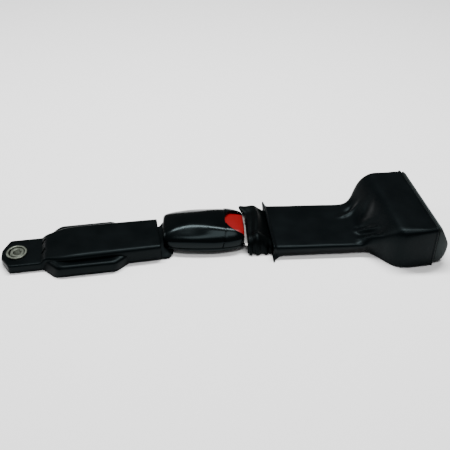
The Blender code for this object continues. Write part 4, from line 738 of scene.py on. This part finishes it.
def webbing_place(distance, side):
    """Where a point of the flat webbing goes: pinched in the slot, loose and creased on the bar."""
    x, z = along_line(LOOP, LOOP_LENGTHS, distance)
    share = side / (WEBBING_WIDTH / 2)
    past = distance - SLOT_AT
    pinch = exp(-(past / 2.2) ** 2)
    loose = exp(-((past - 12) / 13) ** 2)
    upper = ease((past - 3) / 4) * (1 - ease((x - 2) / 8))
    lower = ease((-past - 5) / 5) * (1 - ease((x - 2) / 10))
    y = side * (1 - 0.27 * pinch) + 1.6 * loose * upper
    z += 0.8 * pinch * sin(share * 9)
    x += 0.6 * pinch * sin(share * 9 + 1.2)
    x += upper * loose * ease((past - 6) / 5) * 1.2 * sin(share * 3.1 + 0.4)
    folds = 0.8 * exp(-((past - 14) / 2.2) ** 2) - 1.2 * exp(-((past - 9) / 2.6) ** 2)
    waves = 1.1 * sin(share * 2.6 + 0.9) * exp(-((past - 9) / 6) ** 2) + 0.15 * sin(past * 0.5 + share * 1.4)
    z += upper * loose * (folds + waves)
    spike = ease((share - 0.62) / 0.38) * exp(-((past - 6.5) / 5) ** 2)
    x -= 6.0 * spike
    z += 1.8 * spike
    y += 1.6 * spike
    curl = ease((-share - 0.72) / 0.28) * ease((past - 1) / 2) * (1 - ease((x - 0) / 5))
    z += (1.5 - z) * curl ** 2.4
    teeth = 2.2 * curl * abs(sin(x * 0.52 + 0.9 + 0.6 * sin(x * 0.33))) ** 4
    y += (-24.6 - teeth - y) * curl ** 0.5
    z += upper * (1 - curl) * (1.3 * exp(-((share + 0.72) / 0.09) ** 2)
                               - 1.3 * exp(-((share + 0.9) / 0.08) ** 2))
    ragged = ease((-share - 0.6) / 0.4) * lower
    y += ragged * (1.4 - 3.0 * abs(sin(x * 0.62 + 0.4)) ** 2.5)
    z -= ragged * 1.2
    z = max(z, 0.75 if x < 0.5 else 2.55)
    return world((x, y, z))


loop = cloth("webbing_loop", LOOP_LENGTH, WEBBING_WIDTH, webbing_place, 1.25, 260, 52)
done(loop, WEBBING, "belt", "webbing", "webbing")

ROLL_TURNS = 5
ROLL_OUTER, ROLL_INNER = 12.6, 7.4
ROLL_LENGTH = 2 * pi * ROLL_TURNS * (ROLL_OUTER + ROLL_INNER) / 2


def roll_place(distance, side):
    turned = distance / ROLL_LENGTH
    radius = ROLL_OUTER - (ROLL_OUTER - ROLL_INNER) * turned
    angle = -pi / 2 + 2 * pi * ROLL_TURNS * turned
    return world((radius * cos(angle), side, AXLE_HEIGHT + radius * sin(angle)), BOX_AT)


roll = cloth("roll_of_webbing", ROLL_LENGTH, WEBBING_WIDTH, roll_place, 0.95, 200, 4)
done(roll, WEBBING, "spool", "webbing", "webbing_roll")

# Sewn strap from the sleeve round the buckle's pin

STRAP_LINE = smooth_points([
    # distance, height
    (-140, 5.8), (-120, 5.8), (-106, 5.8), (-99, 6.1), (-95, 7.2), (-90, 10.4), (-86.5, 12.4), (-83.6, 12.7),
    (-81.2, 11.4), (-80.6, 9.4), (-81.4, 7.4), (-84, 6.3), (-88, 5.9), (-95, 4.9), (-99, 4.4), (-106, 4.2),
    (-120, 4.2), (-140, 4.2)], 6)
STRAP_LENGTHS = line_lengths(STRAP_LINE)
STRAP_LENGTH = STRAP_LENGTHS[-1]


def strap_place(distance, side):
    """Where a point of the flat strap goes; its near corner shows between the sleeve and the buckle."""
    x, z = along_line(STRAP_LINE, STRAP_LENGTHS, distance)
    share = side / (STRAP_WIDTH / 2)
    corner = 0
    if x < -86:
        corner = ease((-share - 0.45) / 0.5) * ease((x + 100) / 3) * ease((-85.5 - x) / 1.5)
    reach = x - 9 * corner
    into = ease((-reach - 94) / 6)
    half = 15.0 + 4.6 * ease((-reach - 93.5) / 4) - 1.1 * ease((-x - 99.3) / 4)
    z += ((2.3 if distance < STRAP_LENGTH / 2 else 0.9) - z) * corner
    y = share * half
    past_sleeve = x - SLEEVE_AT[0]
    y += SLEEVE_AT[1] * into * (1 - 0.0125 * past_sleeve) + 0.1056 * past_sleeve * ease(-past_sleeve / 2)
    return world((x, y, z))


strap = cloth("strap_webbing", STRAP_LENGTH, STRAP_WIDTH, strap_place, 1.3, 150, 16)
done(strap, STRAP, "belt", "strap", "buckle_strap")

# Moulded sleeve: body, wings, nose, the two small pockets at the step and the eye

SLEEVE_ROWS = smooth_points([
    # distance, half width, low, high, corner
    (-138.5, 4.2, 1.4, 6.8, 1.4), (-138.1, 5.6, 0.6, 7.7, 1.6), (-136.4, 8.8, 0.1, 8.2, 1.8),
    (-134.0, 13.1, 0.0, 8.4, 1.8), (-132.0, 16.5, 0.0, 8.5, 1.8), (-131.0, 17.4, 0.0, 8.5, 1.8),
    (-128.5, 17.75, 0.0, 8.5, 1.8), (-116, 17.75, 0.0, 8.5, 1.8), (-105, 17.75, 0.0, 8.5, 1.8),
    (-103.2, 17.6, 0.0, 9.3, 2.0), (-100.4, 17.2, 0.0, 11.9, 2.4), (-97.0, 18.0, 0.0, 13.0, 2.8),
    (-90.7, 20.1, 0.0, 14.0, 3.6), (-82.7, 21.8, 0.0, 15.1, 4.2), (-71.5, 22.0, 0.0, 16.0, 4.4),
    (-50, 21.6, 0.0, 16.1, 4.2), (-20, 21.0, 0.0, 16.1, 3.8), (-2.0, 20.6, 0.0, 16.0, 3.6),
    (-0.7, 20.3, 0.3, 15.7, 2.8), (0, 19.4, 1.2, 14.8, 2.6)], 4)


def sleeve_section(row):
    x, half, low, high, corner = row
    ring = section([(-half, low), (half, low), (half, high), (-half, high)],
                   (corner * 0.7, corner * 0.7, corner, corner), (10, 4, 14, 4), 6)
    return across(ring, x, 0, 0, SLEEVE_AT)


sleeve = sweep("sleeve_moulding", [sleeve_section(row) for row in SLEEVE_ROWS])


def wing_plan(inset, rise):
    half, start, stop = 29.5 - inset, -103.5 + inset + rise, -27.5 - inset
    side = [(start, 17.2 - inset), (start + 11, half), (stop - 12.5, half), (stop, 20.0 - inset)]
    side += [(x, -y) for x, y in reversed(side)]
    return section(side, (0.5, 3.5, 3.0, 3, 3, 3.0, 3.5, 0.5), (3, 10, 3, 3, 3, 10, 3, 6), 6)


# Inset, rise, height
wing_levels = ((0.6, 0, 0), (0.1, 0.3, 0.5), (0, 0.8, 1.2), (0, 3.6, 8.0), (0.2, 4.0, 9.2), (0.8, 4.5, 10.2),
               (1.7, 4.9, 10.8), (2.8, 5.2, 11.0), (4.4, 5.6, 10.8), (6.9, 6.0, 10.2))
wings = sweep("wings", [[world((x, y, z), SLEEVE_AT) for x, y in wing_plan(inset, rise)]
                        for inset, rise, z in wing_levels])
join_shape(sleeve, wings, "UNION")
POCKET = section([(-2.5, -1.25), (2.5, -1.25), (2.5, 1.25), (-2.5, 1.25)], (1.0,) * 4, (3, 2, 3, 2), 4)
POCKET_TURN = radians(52)
for pocket_x, pocket_y in ((-101.7, 9.2), (-101.7, -3.9)):
    plan = [(pocket_x + x * cos(POCKET_TURN) - y * sin(POCKET_TURN),
             pocket_y + x * sin(POCKET_TURN) + y * cos(POCKET_TURN)) for x, y in POCKET]
    carve(sleeve, solid("pocket", plan, 6.9, 15, SLEEVE_AT))
# Radius, height
eye_levels = [(9.6, -2), (9.6, 1.3), (7.35, 1.31), (7.35, 8.04), (9.7, 8.05), (9.7, 12)]
eye_room = sweep("eye_room", [[world((x, y, z), SLEEVE_AT) for x, y in circle(EYE, radius, 72)]
                              for radius, z in eye_levels])
carve(sleeve, eye_room, block("strap_room", (-62, 2), (-18.9, 18.9), (3.0, 7.2), SLEEVE_AT))
soften(sleeve, 0.3, 55)
done(sleeve, SLEEVE, "belt", "sleeve", "anchor_sleeve")


def turned(name, profile, centre, at):
    """A closed profile spun about an upright axis."""
    deselect()
    bpy.ops.mesh.primitive_circle_add(vertices=len(profile), radius=0.01, fill_type="NOTHING",
                                      location=(0, 0, 0))
    piece = named(name)
    for vertex, (radius, z) in zip(piece.data.vertices, profile):
        vertex.co = world((centre[0] + radius, centre[1], z), at)
    bpy.ops.object.mode_set(mode="EDIT")
    bpy.ops.mesh.select_all(action="SELECT")
    bpy.ops.mesh.spin(steps=72, angle=2 * pi, center=world((centre[0], centre[1], 0), at), axis=(0, 0, 1))
    bpy.ops.mesh.select_all(action="SELECT")
    bpy.ops.mesh.remove_doubles(threshold=0.00001)
    bpy.ops.mesh.normals_make_consistent(inside=False)
    bpy.ops.object.mode_set(mode="OBJECT")
    bpy.ops.object.shade_smooth_by_angle(angle=radians(35))
    return piece


# Radius, height
bush_profile = [(5.2, 7.7), (5.2, 0.6), (5.6, 0.1), (8.5, 0.05), (9.0, 0.45), (8.6, 0.95),
                (7.25, 0.95), (7.25, 8.4), (8.7, 8.4), (9.0, 8.7), (9.0, 9.1), (8.6, 9.55),
                (7.8, 9.7), (7.2, 9.55), (6.95, 9.2), (6.8, 5.4), (5.9, 5.4), (5.8, 7.7)]
washer_profile = [(3.6, 8.4), (3.8, 8.2), (5.8, 8.2), (6.0, 8.4),
                  (6.0, 8.9), (5.7, 9.15), (3.9, 9.15), (3.6, 8.9)]
bush = turned("bush_ring", bush_profile, EYE, SLEEVE_AT)
done(bush, ZINC, "anchor_bush", "zinc", "anchor_bush")
# The washer lies half a millimetre off the middle
washer = turned("washer_disc", washer_profile, (EYE[0] + 0.5, EYE[1]), SLEEVE_AT)
done(washer, ZINC, "anchor_bush", "zinc", "anchor_washer")

# Floor and light

deselect()
bpy.ops.mesh.primitive_plane_add(size=8, location=(0, 0, 0))
floor = bpy.context.object
floor.name = "floor"
pale = bpy.data.materials.new("pale floor")
pale.use_nodes = True
put(pale.node_tree.nodes["Principled BSDF"], {"Base Color": (0.9, 0.9, 0.9, 1), "Specular IOR Level": 0.0})
floor.data.materials.append(pale)


def softbox(name, place, size, power):
    """A rectangular lamp that faces the middle of the part, in metres and watts."""
    lamp = bpy.data.objects.new(name, bpy.data.lights.new(name, "AREA"))
    lamp.data.shape = "RECTANGLE"
    lamp.data.size, lamp.data.size_y = size
    lamp.data.energy = power
    lamp.location = place
    lamp.rotation_euler = (-Vector(place)).to_track_quat("-Z", "Y").to_euler()
    bpy.context.collection.objects.link(lamp)


softbox("top_light", (0.0, 0.24, 1.0), (0.9, 0.14), 24.0)
softbox("front_light", (0.1, -0.35, 1.0), (0.8, 0.3), 6.0)
softbox("left_light", (-0.9, 0.3, 0.5), (0.4, 0.5), 3.0)
world_light = bpy.data.worlds.new("studio")
world_light.use_nodes = True
put(world_light.node_tree.nodes["Background"], {"Color": (1, 1, 1, 1), "Strength": 0.22})
bpy.context.scene.world = world_light
